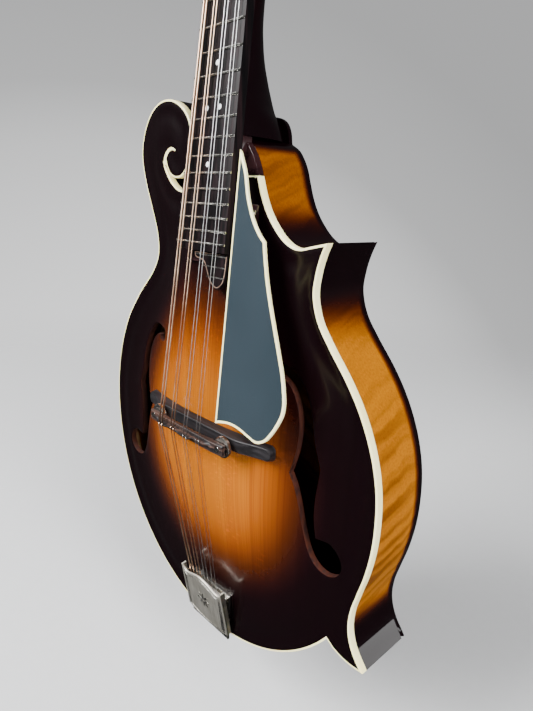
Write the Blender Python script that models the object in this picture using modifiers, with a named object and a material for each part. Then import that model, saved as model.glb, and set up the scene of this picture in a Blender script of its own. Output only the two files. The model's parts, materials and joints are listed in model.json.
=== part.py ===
"""F-style mandolin: carved top and back, a scroll and two body points, eight strings in four courses.

The frame: X runs to the treble side, -Y is the front, +Z runs up the neck. The origin is the
centre of the strap button's flat end, on the centreline. Lengths below are in millimetres, and
each shape is drawn in one of four local frames:
  BODY  (x, z, front)      plan views; front is the height towards the player's audience
  NECK  (x, along, out)    starts at the nut, on the fingerboard's surface
  HEAD  (x, along, out)    starts behind the nut, on the headstock's face
  SIDE  (z, front, x)      side profiles
ACROSS turns NECK and HEAD into (along, out, x), for profiles drawn across them.
"""

import math

import bmesh
import bpy
import numpy as np
from mathutils import Matrix, Vector

MM = 0.001
GAP = 0.3

# Strings and neck
SCALE_LENGTH = 352.4
BRIDGE_Z = 165.0
NECK_PITCH = math.radians(6.5)
HEAD_PITCH = math.radians(14)
BOARD_FRONT_AT_BRIDGE = 47.47
BOARD_THICKNESS = 5.5
NUT_HALF_WIDTH = 14.6
BOARD_LENGTH = 264.8
BOARD_TAPER = 8.0
FRET_COUNT = 20
FRET_HEIGHT = 1.0

# Body
EDGE_FRONT = 20.5
PLATE_EDGE = 4.0
TOP_ARCH = 12.15
BACK_ARCH = 10.5
BINDING = 1.2
RIM_WALL = 2.3
LINING_WIDTH = 5.0
LINING_HEIGHT = 6.0
HEEL_Z = 331.0
TOP_END_Z = 311.3
PIN_HOLE_RADIUS = 3.8
INSIDE_FRONT = EDGE_FRONT - PLATE_EDGE - GAP

# The lower bout is most of an ellipse
BOUT_Z = 148.3
BOUT_HALF_WIDTH = 123.3
BOUT_HALF_HEIGHT = 133.6
NOTCH_ANGLE = math.radians(-36.4)

# Bridge
POST_X = 32.0
POST_Z = 165.2
POST_RADIUS = 1.5
WHEEL_RADIUS = 6.3
SADDLE_FRONT = 49.2

# Pickguard, measured from the fingerboard's surface
GUARD_SURFACE = -2.5
GUARD_THICKNESS = 1.5
GUARD_BINDING = 1.4

# Tailpiece
TAIL_PLATE_LOW = EDGE_FRONT + 0.8
TAIL_PLATE_HIGH = EDGE_FRONT + 2.1
HOOK_Z = 42.7
COVER_HALF_WIDTH = 21.5
COVER_WALL = 1.2
COVER_SHEET = 1.3
COVER_DEPTH = 3.6
COVER_SLOPE = math.atan2(7.4, 36.9)
COVER_TAIL_Z = 15.6
COVER_TAIL_FRONT = 24.3

# Tuners, in the HEAD frame
POST_ROW = 15.5
FIRST_POST = 28.0
POST_PITCH = 23.0
TUNER_POST_RADIUS = 3.0
POST_HOLE_RADIUS = 3.7
GEAR_TEETH = 14
GEAR_OUT = -18.9
WORM_OFFSET = 7.9
HEAD_WOOD = (-15.3, -2.3)

SPRUCE = ("spruce", (0.72, 0.30, 0.05), 0.25, 0.0)
MAPLE = ("maple", (0.42, 0.17, 0.03), 0.25, 0.0)
INNER_WOOD = ("inner_wood", (0.62, 0.46, 0.28), 0.6, 0.0)
EBONY = ("ebony", (0.02, 0.018, 0.018), 0.35, 0.0)
SADDLE_WOOD = ("saddle_wood", (0.07, 0.035, 0.025), 0.4, 0.0)
DARK_LACQUER = ("dark_lacquer", (0.03, 0.01, 0.012), 0.2, 0.0)
CREAM = ("cream", (0.85, 0.78, 0.55), 0.35, 0.0)
BONE = ("bone", (0.88, 0.84, 0.72), 0.4, 0.0)
GUARD_BLACK = ("guard_black", (0.03, 0.04, 0.05), 0.25, 0.0)
NICKEL = ("nickel", (0.62, 0.60, 0.55), 0.3, 1.0)
STEEL = ("steel", (0.75, 0.75, 0.75), 0.25, 1.0)
BRONZE = ("bronze", (0.75, 0.50, 0.35), 0.35, 1.0)
PEARLOID = ("pearloid", (0.85, 0.83, 0.78), 0.3, 0.0)

BODY = Matrix.Rotation(math.pi / 2, 4, "X")
SIDE = Matrix(((0, 0, 1, 0), (0, -1, 0, 0), (1, 0, 0, 0), (0, 0, 0, 1)))
ACROSS = Matrix(((0, 0, 1, 0), (1, 0, 0, 0), (0, 1, 0, 0), (0, 0, 0, 1)))


# Collections, materials and the object kit

def empty_scene():
    """Removes what the scene holds."""
    for obj in list(bpy.data.objects):
        bpy.data.objects.remove(obj, do_unlink=True)


def new_collection(name):
    """Makes a collection under the scene's own."""
    found = bpy.data.collections.new(name)
    bpy.context.scene.collection.children.link(found)
    return found


def material(spec):
    """The Principled BSDF material of a (name, colour, roughness, metallic) finish."""
    name, colour, roughness, metallic = spec
    found = bpy.data.materials.get(name)
    if found:
        return found
    made = bpy.data.materials.new(name)
    made.use_nodes = True
    shader = made.node_tree.nodes["Principled BSDF"]
    shader.inputs["Base Color"].default_value = (*colour, 1)
    shader.inputs["Roughness"].default_value = roughness
    shader.inputs["Metallic"].default_value = metallic
    return made


def linked(name, data, frame=None):
    """A new object of the mandolin that holds the data in a frame."""
    obj = bpy.data.objects.new(name, data)
    MANDOLIN.objects.link(obj)
    if frame is not None:
        obj.matrix_world = frame
    return obj


def finish(obj, spec):
    """Gives a finished part its material and smooth shading with sharp edges."""
    obj.data.materials.clear()
    obj.data.materials.append(material(spec))
    if obj.type == "MESH":
        obj.data.shade_smooth()
        obj.data.set_sharp_from_angle(angle=math.radians(35))
    return obj


def as_cutter(obj):
    """Turns an object into a hidden cutter."""
    MANDOLIN.objects.unlink(obj)
    CUTTERS.objects.link(obj)
    obj.hide_render = True
    obj.display_type = "WIRE"
    return obj


def applied(obj):
    """Replaces an object by the mesh its modifiers or curve give, with the loose caps welded."""
    bpy.context.view_layer.update()
    graph = bpy.context.evaluated_depsgraph_get()
    mesh = bpy.data.meshes.new_from_object(obj.evaluated_get(graph))
    name, frame = obj.name, obj.matrix_world.copy()
    bpy.data.objects.remove(obj)
    bm = bmesh.new()
    bm.from_mesh(mesh)
    bmesh.ops.remove_doubles(bm, verts=bm.verts, dist=1e-6)
    bmesh.ops.recalc_face_normals(bm, faces=bm.faces)
    bm.to_mesh(mesh)
    bm.free()
    return linked(name, mesh, frame)


def boolean(obj, tool, operation="DIFFERENCE"):
    """Cuts or joins with a tool, which stays as a hidden cutter."""
    if tool.name not in CUTTERS.objects:
        as_cutter(tool)
    modifier = obj.modifiers.new(operation.title(), "BOOLEAN")
    modifier.operation = operation
    modifier.solver = "EXACT"
    modifier.object = tool
    return obj


def curve(name, loops, dimensions, closed, frame=None):
    """A curve object of straight-sided splines through points in millimetres."""
    data = bpy.data.curves.new(name, "CURVE")
    data.dimensions = dimensions
    for loop in loops:
        spline = data.splines.new("POLY")
        spline.points.add(len(loop) - 1)
        for point, place in zip(spline.points, loop):
            at = [c * MM for c in place] + [0.0] * (3 - len(place))
            point.co = (*at, 1)
        spline.use_cyclic_u = closed
    return linked(name, data, frame)


def flat_shape(name, loops, low, high, frame=BODY):
    """A flat outline (with holes, if it has several loops), thick from low to high."""
    middle = Matrix.Translation((0, 0, (low + high) / 2 * MM))
    obj = curve(name, loops, "2D", True, frame @ middle)
    obj.data.fill_mode = "BOTH"
    obj.data.extrude = (high - low) / 2 * MM
    return applied(obj)


def box(name, low, high, frame=BODY, bevel=0.0):
    """A box between two corners of a frame, with its edges rounded by bevel."""
    size = [(b - a) * MM for a, b in zip(low, high)]
    centre = [(a + b) / 2 * MM for a, b in zip(low, high)]
    mesh = bpy.data.meshes.new(name)
    bm = bmesh.new()
    bmesh.ops.create_cube(bm, size=1, matrix=Matrix.Diagonal((*size, 1)))
    bm.to_mesh(mesh)
    bm.free()
    obj = linked(name, mesh, frame @ Matrix.Translation(centre))
    if bevel:
        rounding = obj.modifiers.new("Rounding", "BEVEL")
        rounding.width = bevel * MM
        rounding.segments = 2
    return obj


def cylinder(name, radius, base, top, frame, sides=20):
    """A cylinder along a frame's third axis, from a base point (x, y, z) up to z = top."""
    mesh = bpy.data.meshes.new(name)
    bm = bmesh.new()
    height = top - base[2]
    bmesh.ops.create_cone(
        bm, cap_ends=True, segments=sides, radius1=radius * MM, radius2=radius * MM,
        depth=height * MM,
    )
    bm.to_mesh(mesh)
    bm.free()
    centre = (base[0] * MM, base[1] * MM, (base[2] + height / 2) * MM)
    return linked(name, mesh, frame @ Matrix.Translation(centre))


def turned(name, profile, frame, steps=20):
    """A turned solid: the (radius, height) profile runs down the outside, about the third axis."""
    mesh = bpy.data.meshes.new(name)
    bm = bmesh.new()
    verts = [bm.verts.new((radius * MM, 0, height * MM)) for radius, height in profile]
    for a, b in zip(verts, verts[1:]):
        bm.edges.new((a, b))
    bm.to_mesh(mesh)
    bm.free()
    obj = linked(name, mesh, frame)
    screw = obj.modifiers.new("Turn", "SCREW")
    screw.steps = steps
    screw.render_steps = steps
    screw.use_merge_vertices = True
    screw.merge_threshold = 1e-6
    return applied(obj)


def tube(name, points, radius, frame=None):
    """A round wire along straight runs."""
    obj = curve(name, [points], "3D", False, frame)
    obj.data.bevel_depth = radius * MM
    obj.data.bevel_resolution = 1
    obj.data.use_fill_caps = True
    return obj


def ribbon(name, path, low, high, thickness, frame=BODY):
    """A wall of one thickness that stands on a plan path, on the path's right-hand side."""
    mesh = bpy.data.meshes.new(name)
    bm = bmesh.new()
    lower = [bm.verts.new((x * MM, z * MM, low * MM)) for x, z in path]
    upper = [bm.verts.new((x * MM, z * MM, high * MM)) for x, z in path]
    for i in range(len(path) - 1):
        bm.faces.new((lower[i], upper[i], upper[i + 1], lower[i + 1]))
    bm.to_mesh(mesh)
    bm.free()
    obj = linked(name, mesh, frame)
    wall = obj.modifiers.new("Wall", "SOLIDIFY")
    wall.thickness = thickness * MM
    wall.offset = -1
    wall.use_even_offset = True
    return applied(obj)


def joined(name, objects):
    """Several separate solids as one object, in world space."""
    bm = bmesh.new()
    for obj in objects:
        solid = applied(obj)
        solid.data.transform(solid.matrix_world)
        bm.from_mesh(solid.data)
        bpy.data.objects.remove(solid)
    mesh = bpy.data.meshes.new(name)
    bm.to_mesh(mesh)
    bm.free()
    return linked(name, mesh)


# Plan shapes

def smooth(points, steps=1):
    """Points along a smooth curve (Catmull-Rom) through the given ones."""
    given = [np.array(p, float) for p in points]
    padded = [2 * given[0] - given[1], *given, 2 * given[-1] - given[-2]]
    found = []
    for a, b, c, d in zip(padded, padded[1:], padded[2:], padded[3:]):
        for step in range(steps):
            t = step / steps
            line = 2 * b + (c - a) * t
            line = line + (2 * a - 5 * b + 4 * c - d) * t ** 2
            line = line + (3 * b - a - 3 * c + d) * t ** 3
            found.append(tuple(line / 2))
    found.append(tuple(given[-1]))
    return found


def inset(path, distance):
    """The path moved to its right-hand side, which is the inside of the body."""
    points = [np.array(p, float) for p in path]
    moved = []
    for i, point in enumerate(points):
        before = point - points[i - 1] if i else points[1] - points[0]
        after = points[i + 1] - point if i + 1 < len(points) else before
        before = before / np.linalg.norm(before)
        after = after / np.linalg.norm(after)
        across = np.array([before[1] + after[1], -before[0] - after[0]])
        across = across / np.linalg.norm(across)
        cosine = max(across @ np.array([before[1], -before[0]]), 0.35)
        moved.append(tuple(point + across * distance / cosine))
    return moved


def treble_heel():
    """The side from the neck's heel down to the end of the top."""
    return smooth([(15, HEEL_Z), (21.4, 327.2), (26.0, 321.4), (28.8, 316.0), (30.4, TOP_END_Z)])


def treble_side():
    """The cutaway, the upper point, the treble bout and the lower point."""
    cutaway = smooth([
        (30.4, TOP_END_Z), (33.6, 302.6), (37.0, 295.8), (41.6, 289.4), (48.6, 282.4),
        (55.5, 278.3), (62.1, 277.1), (70.0, 278.8), (79.9, 281.1),
    ])
    bout = smooth([
        (79.9, 281.1), (77.1, 274.5), (74.8, 266.0), (73.9, 255.0), (78.0, 242.9),
        (86.5, 231.5), (97.8, 218.4), (106.5, 206.3), (113.3, 193.7), (118.5, 180.1),
        (121.7, 165.8), (122.8, 150.6), (122.3, 136.0), (120.0, 121.0), (116.4, 107.0),
        (113.7, 95.5), (113.4, 84.5), (116.8, 74.0), (124.0, 64.3),
    ])
    return cutaway[:-1] + bout[:-1] + [(124.0, 64.3), (117.0, 63.7), (110.0, 64.2), (103.6, 66.1)]


def lower_bout(steps=24):
    """The ellipse from the lower point's notch round the tail to the bass side."""
    found = []
    for step in range(steps):
        angle = NOTCH_ANGLE - (math.pi + NOTCH_ANGLE) * step / steps
        x = BOUT_HALF_WIDTH * math.cos(angle)
        z = BOUT_Z + BOUT_HALF_HEIGHT * math.sin(angle)
        found.append((x, z))
    return found


def bass_side():
    """The bass bout, the scroll's outside and button, and the slot up to the neck."""
    bout = [
        (-123.3, 148.3), (-122.4, 162.0), (-119.6, 178.0), (-114.0, 195.5), (-104.1, 214.7),
        (-89.2, 233.1), (-73.2, 248.9), (-66.0, 259.0), (-64.3, 267.5), (-66.2, 278.0),
        (-71.5, 291.0), (-77.6, 305.0),
    ]
    scroll = smooth([
        (-81.6, 318.0), (-82.0, 328.5), (-78.0, 340.0), (-70.5, 349.3), (-60.0, 354.5),
        (-48.0, 354.6), (-37.5, 350.0), (-30.3, 342.5), (-28.3, 333.0), (-30.2, 322.5),
        (-33.2, 315.2), (-38.2, 310.9), (-45.0, 310.2), (-50.6, 312.6), (-54.0, 317.2),
    ], 2)
    slot_end = [(-54.9, 320.0), (-56.2, 319.4)]
    slot = smooth([
        (-55.2, 316.6), (-52.2, 312.3), (-47.2, 307.2), (-41.2, 303.9), (-34.4, 302.9),
        (-27.4, 303.5), (-22.6, 306.4), (-21.0, TOP_END_Z),
    ])
    return bout + scroll + slot_end + slot


def bass_heel():
    """The side from the end of the top up to the neck's heel, beside the slot."""
    return smooth([(-21.0, TOP_END_Z), (-20.6, 319.0), (-19.0, 326.0), (-15, HEEL_Z)])


def bound_path():
    """The part of the outline that the soundboard and its binding follow."""
    return treble_side() + lower_bout() + bass_side()


def body_path():
    """The whole outline, from the heel's treble side round the body to its bass side."""
    return treble_heel()[:-1] + bound_path()[:-1] + bass_heel()


def stretch(path, start, end):
    """The part of a path between the points nearest to two places."""
    points = np.array(path)
    first = int(np.argmin(np.linalg.norm(points - start, axis=1)))
    last = int(np.argmin(np.linalg.norm(points - end, axis=1)))
    return path[first:last + 1]


def sound_hole(side):
    """The treble f-hole's outline, or with side = -1 the bass one's."""
    outer = smooth([(56.5, 217.4), (63.5, 216.4), (70.0, 211.0), (75.3, 203.5), (79.6, 192.0),
                    (82.2, 180.5), (87.0, 167.4)])
    outer += smooth([(86.1, 161.0), (84.9, 150.0), (84.9, 138.0), (86.6, 126.3)])
    lobe = smooth([(90.5, 127.0), (96.6, 127.2), (102.4, 123.0), (104.6, 117.3), (102.3, 111.2),
                   (96.5, 107.9), (89.8, 108.6), (84.6, 112.6), (80.9, 118.9)])
    inner = smooth([(77.6, 129.1), (74.5, 140.9), (71.2, 150.6), (67.2, 158.2)])
    upper = smooth([(70.0, 165.5), (71.9, 176.0), (71.9, 187.5), (69.5, 197.5), (64.6, 206.0),
                    (58.8, 210.4)])
    button = []
    for step in range(9):
        angle = math.radians(20 - 40 * step)
        button.append((51.5 + 4.9 * math.cos(angle), 211.8 + 4.9 * math.sin(angle)))
    loop = outer + lobe + inner + upper + button[1:7]
    return [(side * x, z) for x, z in loop]


# The arching: a soap film over the outline gives its plan, and powers of it the carved section

GRID = 3.0
FILM_POWER = 3.5
RIDGE_FALL = 0.00045


def film_table(path):
    """A film's height on a grid over the closed path, held down at the outline."""
    xs = np.arange(-132, 133, GRID)
    zs = np.arange(6, 361, GRID)
    gx, gz = np.meshgrid(xs, zs, indexing="ij")
    inside = np.zeros(gx.shape, bool)
    loop = [*path, (-15, 352), (15, 352)]
    for (x0, z0), (x1, z1) in zip(loop, loop[1:] + loop[:1]):
        if z0 != z1:
            crossing = (z0 > gz) != (z1 > gz)
            inside ^= crossing & (gx < (x1 - x0) * (gz - z0) / (z1 - z0) + x0)
    film = np.zeros(gx.shape)
    for _ in range(3000):
        film[1:-1, 1:-1] = (
            film[2:, 1:-1] + film[:-2, 1:-1] + film[1:-1, 2:] + film[1:-1, :-2]
        ) / 4 + 1
        film *= inside
    return xs, zs, film


def sampled(table, x, z):
    """The film's height at a place, between its grid points."""
    xs, zs, film = table
    i = int(min(max((x - xs[0]) / GRID, 0), len(xs) - 2))
    j = int(min(max((z - zs[0]) / GRID, 0), len(zs) - 2))
    u = (x - xs[i]) / GRID
    v = (z - zs[j]) / GRID
    low = film[i, j] * (1 - u) + film[i + 1, j] * u
    high = film[i, j + 1] * (1 - u) + film[i + 1, j + 1] * u
    return max(low * (1 - v) + high * v, 0.0)


def arch_share(table, x, z):
    """The arch's height at a place, as a share of the crown's height at the bridge."""
    crown = sampled(table, 0, BRIDGE_Z)
    here = sampled(table, x, z)
    if z <= BRIDGE_Z:
        return min(here / crown, 1) ** FILM_POWER
    ridge = max(1 - RIDGE_FALL / TOP_ARCH * (z - BRIDGE_Z) ** 2, 0)
    ratio = here / max(sampled(table, 0, z), 1e-6)
    if ratio < 1e-3:
        return 0.0
    ratio = (2 / (1 + ratio ** -6)) ** (1 / 6)
    return ridge * ratio ** FILM_POWER


def carved(obj, table, arch, towards_front):
    """Bends a flat plate, drawn around the edge plane in the BODY frame, into its arch."""
    solid = applied(obj)
    bm = bmesh.new()
    bm.from_mesh(solid.data)
    bmesh.ops.transform(bm, matrix=BODY.inverted() @ solid.matrix_world, verts=bm.verts)
    bmesh.ops.triangulate(bm, faces=bm.faces)
    sign = 1 if towards_front else -1
    middle = sign * (EDGE_FRONT - PLATE_EDGE / 2) * MM
    for vert in bm.verts:
        rise = arch * arch_share(table, vert.co.x / MM, vert.co.y / MM)
        outer = sign * (vert.co.z - middle) > 0
        vert.co.z += sign * rise * MM * (1.0 if outer else 0.97)
    mesh = bpy.data.meshes.new(solid.name)
    bm.to_mesh(mesh)
    bm.free()
    name = solid.name
    bpy.data.objects.remove(solid)
    return linked(name, mesh, BODY)


def lattice(name, low, high, cell=15.0):
    """A slab of square cells over the whole body, whose points take a plate's arch."""
    mesh = bpy.data.meshes.new(name)
    bm = bmesh.new()
    span_x, span_z = 270.0, 372.0
    columns, rows = round(span_x / cell), round(span_z / cell)
    bmesh.ops.create_grid(bm, x_segments=columns, y_segments=rows, size=0.5)
    shape = Matrix.Diagonal((span_x * MM, span_z * MM, 1, 1))
    bmesh.ops.transform(bm, matrix=shape, verts=bm.verts)
    bm.to_mesh(mesh)
    bm.free()
    place = Matrix.Translation((0, 182 * MM, high * MM))
    obj = linked(name, mesh, BODY @ place)
    slab = obj.modifiers.new("Slab", "SOLIDIFY")
    slab.thickness = (high - low) * MM
    slab.offset = -1
    return obj


def board_front(z):
    """How far forward the fingerboard's surface is at a height."""
    return BOARD_FRONT_AT_BRIDGE - math.tan(NECK_PITCH) * (z - BRIDGE_Z)


def board_half_width(along):
    """Half the fingerboard's width at a distance below the nut (along is negative there)."""
    return NUT_HALF_WIDTH - along / BOARD_LENGTH * BOARD_TAPER


def fret_along(number):
    """A fret's place along the NECK frame."""
    return -SCALE_LENGTH * (1 - 2 ** (-number / 12))


# The body

def make_plates(table):
    """The carved spruce top with its f-holes, and the carved maple back."""
    top_loop = inset(bound_path(), BINDING + GAP)
    low, high = EDGE_FRONT - PLATE_EDGE, EDGE_FRONT
    flat_top = lattice("soundboard", low, high)
    outline = flat_shape("top_outline", [top_loop, sound_hole(1), sound_hole(-1)],
                         low - 2, high + 2)
    boolean(flat_top, outline, "INTERSECT")
    finish(carved(flat_top, table, TOP_ARCH, True), SPRUCE)

    button = smooth([(-15, HEEL_Z), (-13.4, 338.5), (-9.0, 344.0), (0, 346.2), (9.0, 344.0),
                     (13.4, 338.5), (15, HEEL_Z)])
    back_loop = body_path() + button[1:-1]
    flat_back = lattice("back_plate", -high, -low)
    outline = flat_shape("back_outline", [back_loop], -high - 2, -low + 2)
    boolean(flat_back, outline, "INTERSECT")
    finish(carved(flat_back, table, BACK_ARCH, False), MAPLE)


def make_rim():
    """The bent sides, with the strap button's hole, and the cream binding in front of them."""
    rim = ribbon("rim", body_path(), -INSIDE_FRONT, INSIDE_FRONT, RIM_WALL)
    boolean(rim, cylinder("rim_pin_hole", PIN_HOLE_RADIUS, (0, 0, 8), 40, Matrix()))
    finish(rim, MAPLE)
    binding = ribbon("top_binding", bound_path(), EDGE_FRONT - PLATE_EDGE, EDGE_FRONT, BINDING)
    finish(binding, CREAM)


def lining_path():
    """The line of the linings: the body's outline with the two points left out."""
    cutaway = stretch(treble_side(), (42.6, 288.2), (57.6, 277.9)) + [(67.0, 268.5)]
    bout = stretch(treble_side(), (73.4, 255.0), (120.0, 121.0))
    tail = []
    for step in range(34):
        angle = math.radians(-17) - (math.pi - math.radians(17)) * step / 33
        tail.append((BOUT_HALF_WIDTH * math.cos(angle), BOUT_Z + BOUT_HALF_HEIGHT * math.sin(angle)))
    bass = stretch(bass_side(), (-122.4, 162.0), (-66.2, 278.0))
    return cutaway + bout + tail[1:] + bass


def inner_block(name, loop, half_height=INSIDE_FRONT):
    """A solid block that fills the inside of the rim where a plan loop covers it."""
    inner = inset(body_path(), RIM_WALL + GAP)
    block = flat_shape(name, [loop], -half_height, half_height)
    inside = flat_shape(name + "_inside", [inner], -INSIDE_FRONT - 1, INSIDE_FRONT + 1)
    return finish(boolean(block, inside, "INTERSECT"), INNER_WOOD)


def make_blocks():
    """The head block with the scroll's core, the tail block and the two point blocks."""
    inner_block("head_block", [(-95, 300), (-62, 288), (-26, 284), (30, 286), (44, 296), (52, 331),
                               (20, HEEL_Z), (-24, HEEL_Z + 4), (-24, 362), (-95, 362)])
    tail = inner_block("tail_block", [(-22, 0), (22, 0), (22, 34), (-22, 34)],
                       INSIDE_FRONT - LINING_HEIGHT - GAP)
    boolean(tail, cylinder("block_pin_hole", PIN_HOLE_RADIUS, (0, 0, 8), 40, Matrix()))
    upper = inner_block("upper_point_block", [(55, 276), (68, 258), (90, 256), (90, 292), (55, 292)])
    lower = inner_block("lower_point_block", [(88, 56), (135, 50), (135, 110), (112, 108)])
    lined = inset(lining_path(), RIM_WALL)
    within = flat_shape("lined_area", [lined], -EDGE_FRONT, EDGE_FRONT)
    boolean(upper, within)
    boolean(lower, within)


def make_linings():
    """Lining strips that widen the glue faces of the rim, from the head block round to it."""
    path = inset(lining_path(), RIM_WALL + GAP)
    low = INSIDE_FRONT - LINING_HEIGHT
    finish(ribbon("top_lining", path, low, INSIDE_FRONT, LINING_WIDTH), INNER_WOOD)
    finish(ribbon("back_lining", path, -INSIDE_FRONT, -low, LINING_WIDTH), INNER_WOOD)


def make_tone_bars(table):
    """Two spruce bars under the top, shaped to its inside."""
    for name, x_low, x_high in (("bass_tone_bar", -34.0, -30.0), ("treble_tone_bar", 27.0, 32.0)):
        length = 17
        profile = []
        for step in range(length):
            z = 78 + step * 11.0
            rise = TOP_ARCH * 0.97 * arch_share(table, (x_low + x_high) / 2, z)
            under = EDGE_FRONT - PLATE_EDGE + rise - 1.2
            height = 2.5 + 7.5 * math.sin(math.pi * step / (length - 1))
            profile.append((z, under, height))
        upper = [(z, under) for z, under, _ in profile]
        lower = [(z, under - height) for z, under, height in reversed(profile)]
        finish(flat_shape(name, [upper + lower], x_low, x_high, SIDE), INNER_WOOD)


# The neck and headstock

HEEL_SECTIONS = (
    # height, depth behind the fingerboard, squareness, half width at the back
    (331.3, 38.7, 6.0, 15.5),
    (337.0, 38.0, 5.0, 14.0),
    (342.0, 37.4, 4.0, 11.8),
    (346.5, 36.2, 3.0, 10.5),
    (351.0, 33.8, 2.5, 12.0),
    (356.0, 30.6, 2.2, 14.5),
    (362.0, 26.2, 2.1, 17.0),
    (369.0, 22.0, 2.0, 18.6),
    (377.0, 18.8, 2.0, 18.8),
    (388.0, 16.4, 2.0, 18.4),
    (410.0, 15.6, 2.0, 17.7),
    (450.0, 14.9, 2.0, 16.4),
    (490.0, 14.3, 2.0, 15.3),
    (508.0, 14.4, 2.0, 14.8),
    (517.0, 13.0, 2.0, 14.6),
)


def neck_ring(z, depth, squareness, back_width, points=13):
    """One section of the neck, as BODY places: a flat front and a rounded back."""
    along = (z - NUT_PLACE.z / MM) / math.cos(NECK_PITCH)
    width = board_half_width(min(along, 0))
    front = board_front(z) - BOARD_THICKNESS - GAP
    ring = []
    for step in range(points):
        angle = math.pi * step / (points - 1)
        cosine = math.cos(angle)
        share = math.sin(angle)
        reach = width + (back_width - width) * share
        x = reach * math.copysign(abs(cosine) ** (2 / squareness), cosine)
        ring.append(Vector((x, z, front - depth * share ** (2 / squareness))) * MM)
    return ring


def throat_ring(along, half_width, squareness, points=13):
    """One section of the headstock's root, as BODY places, across the headstock."""
    low, high = HEAD_WOOD
    ring = []
    for step in range(points):
        angle = math.pi * step / (points - 1)
        cosine = math.cos(angle)
        x = half_width * math.copysign(abs(cosine) ** (2 / squareness), cosine)
        out = high - (high - low) * math.sin(angle) ** (2 / squareness)
        ring.append(BODY.inverted() @ HEAD @ (Vector((x, along, out)) * MM))
    return ring


def loft(name, rings, frame=BODY):
    """A solid through rings of equal point counts, closed by flat ends."""
    mesh = bpy.data.meshes.new(name)
    bm = bmesh.new()
    rows = [[bm.verts.new(co) for co in ring] for ring in rings]
    for lower, upper in zip(rows, rows[1:]):
        for i in range(len(lower)):
            j = (i + 1) % len(lower)
            bm.faces.new((lower[i], lower[j], upper[j], upper[i]))
    bm.faces.new(rows[0])
    bm.faces.new(rows[-1])
    bmesh.ops.recalc_face_normals(bm, faces=bm.faces)
    bm.to_mesh(mesh)
    bm.free()
    return linked(name, mesh, frame)


def head_loop(root):
    """The headstock's outline from its root up: shoulders, a slight waist and a rounded crest."""
    half = smooth([
        root, (18.2, 12.0), (25.0, 17.5), (30.5, 25.0), (31.4, 38.0), (29.6, 62.0),
        (28.4, 88.0), (29.4, 108.0), (33.5, 126.0), (38.0, 139.0), (38.5, 146.5),
        (33.5, 151.0), (24.5, 151.5), (15.0, 155.0), (8.0, 163.5), (0.0, 168.0),
    ])
    left = [(-x, y) for x, y in reversed(half[:-1])]
    return half + left


def make_neck():
    """The maple neck with its heel, headstock, truss-rod channel and tuner holes."""
    low, high = HEAD_WOOD
    rings = [neck_ring(*section) for section in HEEL_SECTIONS]
    rings.append(throat_ring(5.0, 15.2, 3.0))
    rings.append(throat_ring(8.5, 16.4, 6.0))
    neck = loft("neck", rings)
    head = flat_shape("neck_head", [head_loop((16.0, 7.5))], low, high, HEAD)
    boolean(neck, head, "UNION")
    channel = box("rod_channel", (-3.3, -176, -BOARD_THICKNESS - 8.5), (3.3, 2, 2), NECK)
    boolean(neck, channel)
    pocket = box("rod_pocket", (-5.5, -9, -11.3), (5.5, 20, 3), HEAD)
    boolean(neck, pocket)
    for side in (-1, 1):
        for place in tuner_places():
            hole = cylinder(f"post_hole_{side}_{place:.0f}", POST_HOLE_RADIUS,
                            (side * POST_ROW, place, -20), 4, HEAD, 8)
            boolean(neck, hole)
    finish(neck, MAPLE)

    overlay = flat_shape("headstock_overlay", [head_loop((14.6, 0.7))], high + GAP, 0, HEAD)
    boolean(overlay, box("overlay_pocket", (-5.5, -9, -8), (5.5, 20, 3), HEAD))
    for side in (-1, 1):
        for place in tuner_places():
            hole = cylinder(f"bushing_hole_{side}_{place:.0f}", POST_HOLE_RADIUS,
                            (side * POST_ROW, place, -8), 4, HEAD, 8)
            boolean(overlay, hole)
    finish(overlay, EBONY)


def make_truss_rod():
    """The rod in the neck, its hexagonal nut and the cover over it."""
    rod_frame = NECK @ Matrix.Rotation(math.pi / 2, 4, "X")
    depth = -BOARD_THICKNESS - 4.6
    rod = turned("truss_rod", [(0, -1.5), (2.2, -1.5), (2.2, 172), (0, 172)][::-1],
                 rod_frame @ Matrix.Translation((0, depth * MM, 0)), 12)
    finish(rod, STEEL)
    nut_frame = NECK @ Matrix.Translation((0, 1.8 * MM, depth * MM))
    nut_frame = nut_frame @ Matrix.Rotation(-math.pi / 2, 4, "X")
    finish(cylinder("truss_rod_nut", 2.9, (0, 0, 0), 8.2, nut_frame, 6), STEEL)
    cover_loop = smooth([(0, 26.5), (5.5, 24.0), (9.5, 16.0), (9.8, 7.5), (8.0, 3.0), (0, 2.2)])
    mirrored = [(-x, y) for x, y in reversed(cover_loop[1:-1])]
    cover = flat_shape("truss_rod_cover", [cover_loop + mirrored], GAP, 1.8, HEAD)
    finish(cover, EBONY)


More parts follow.
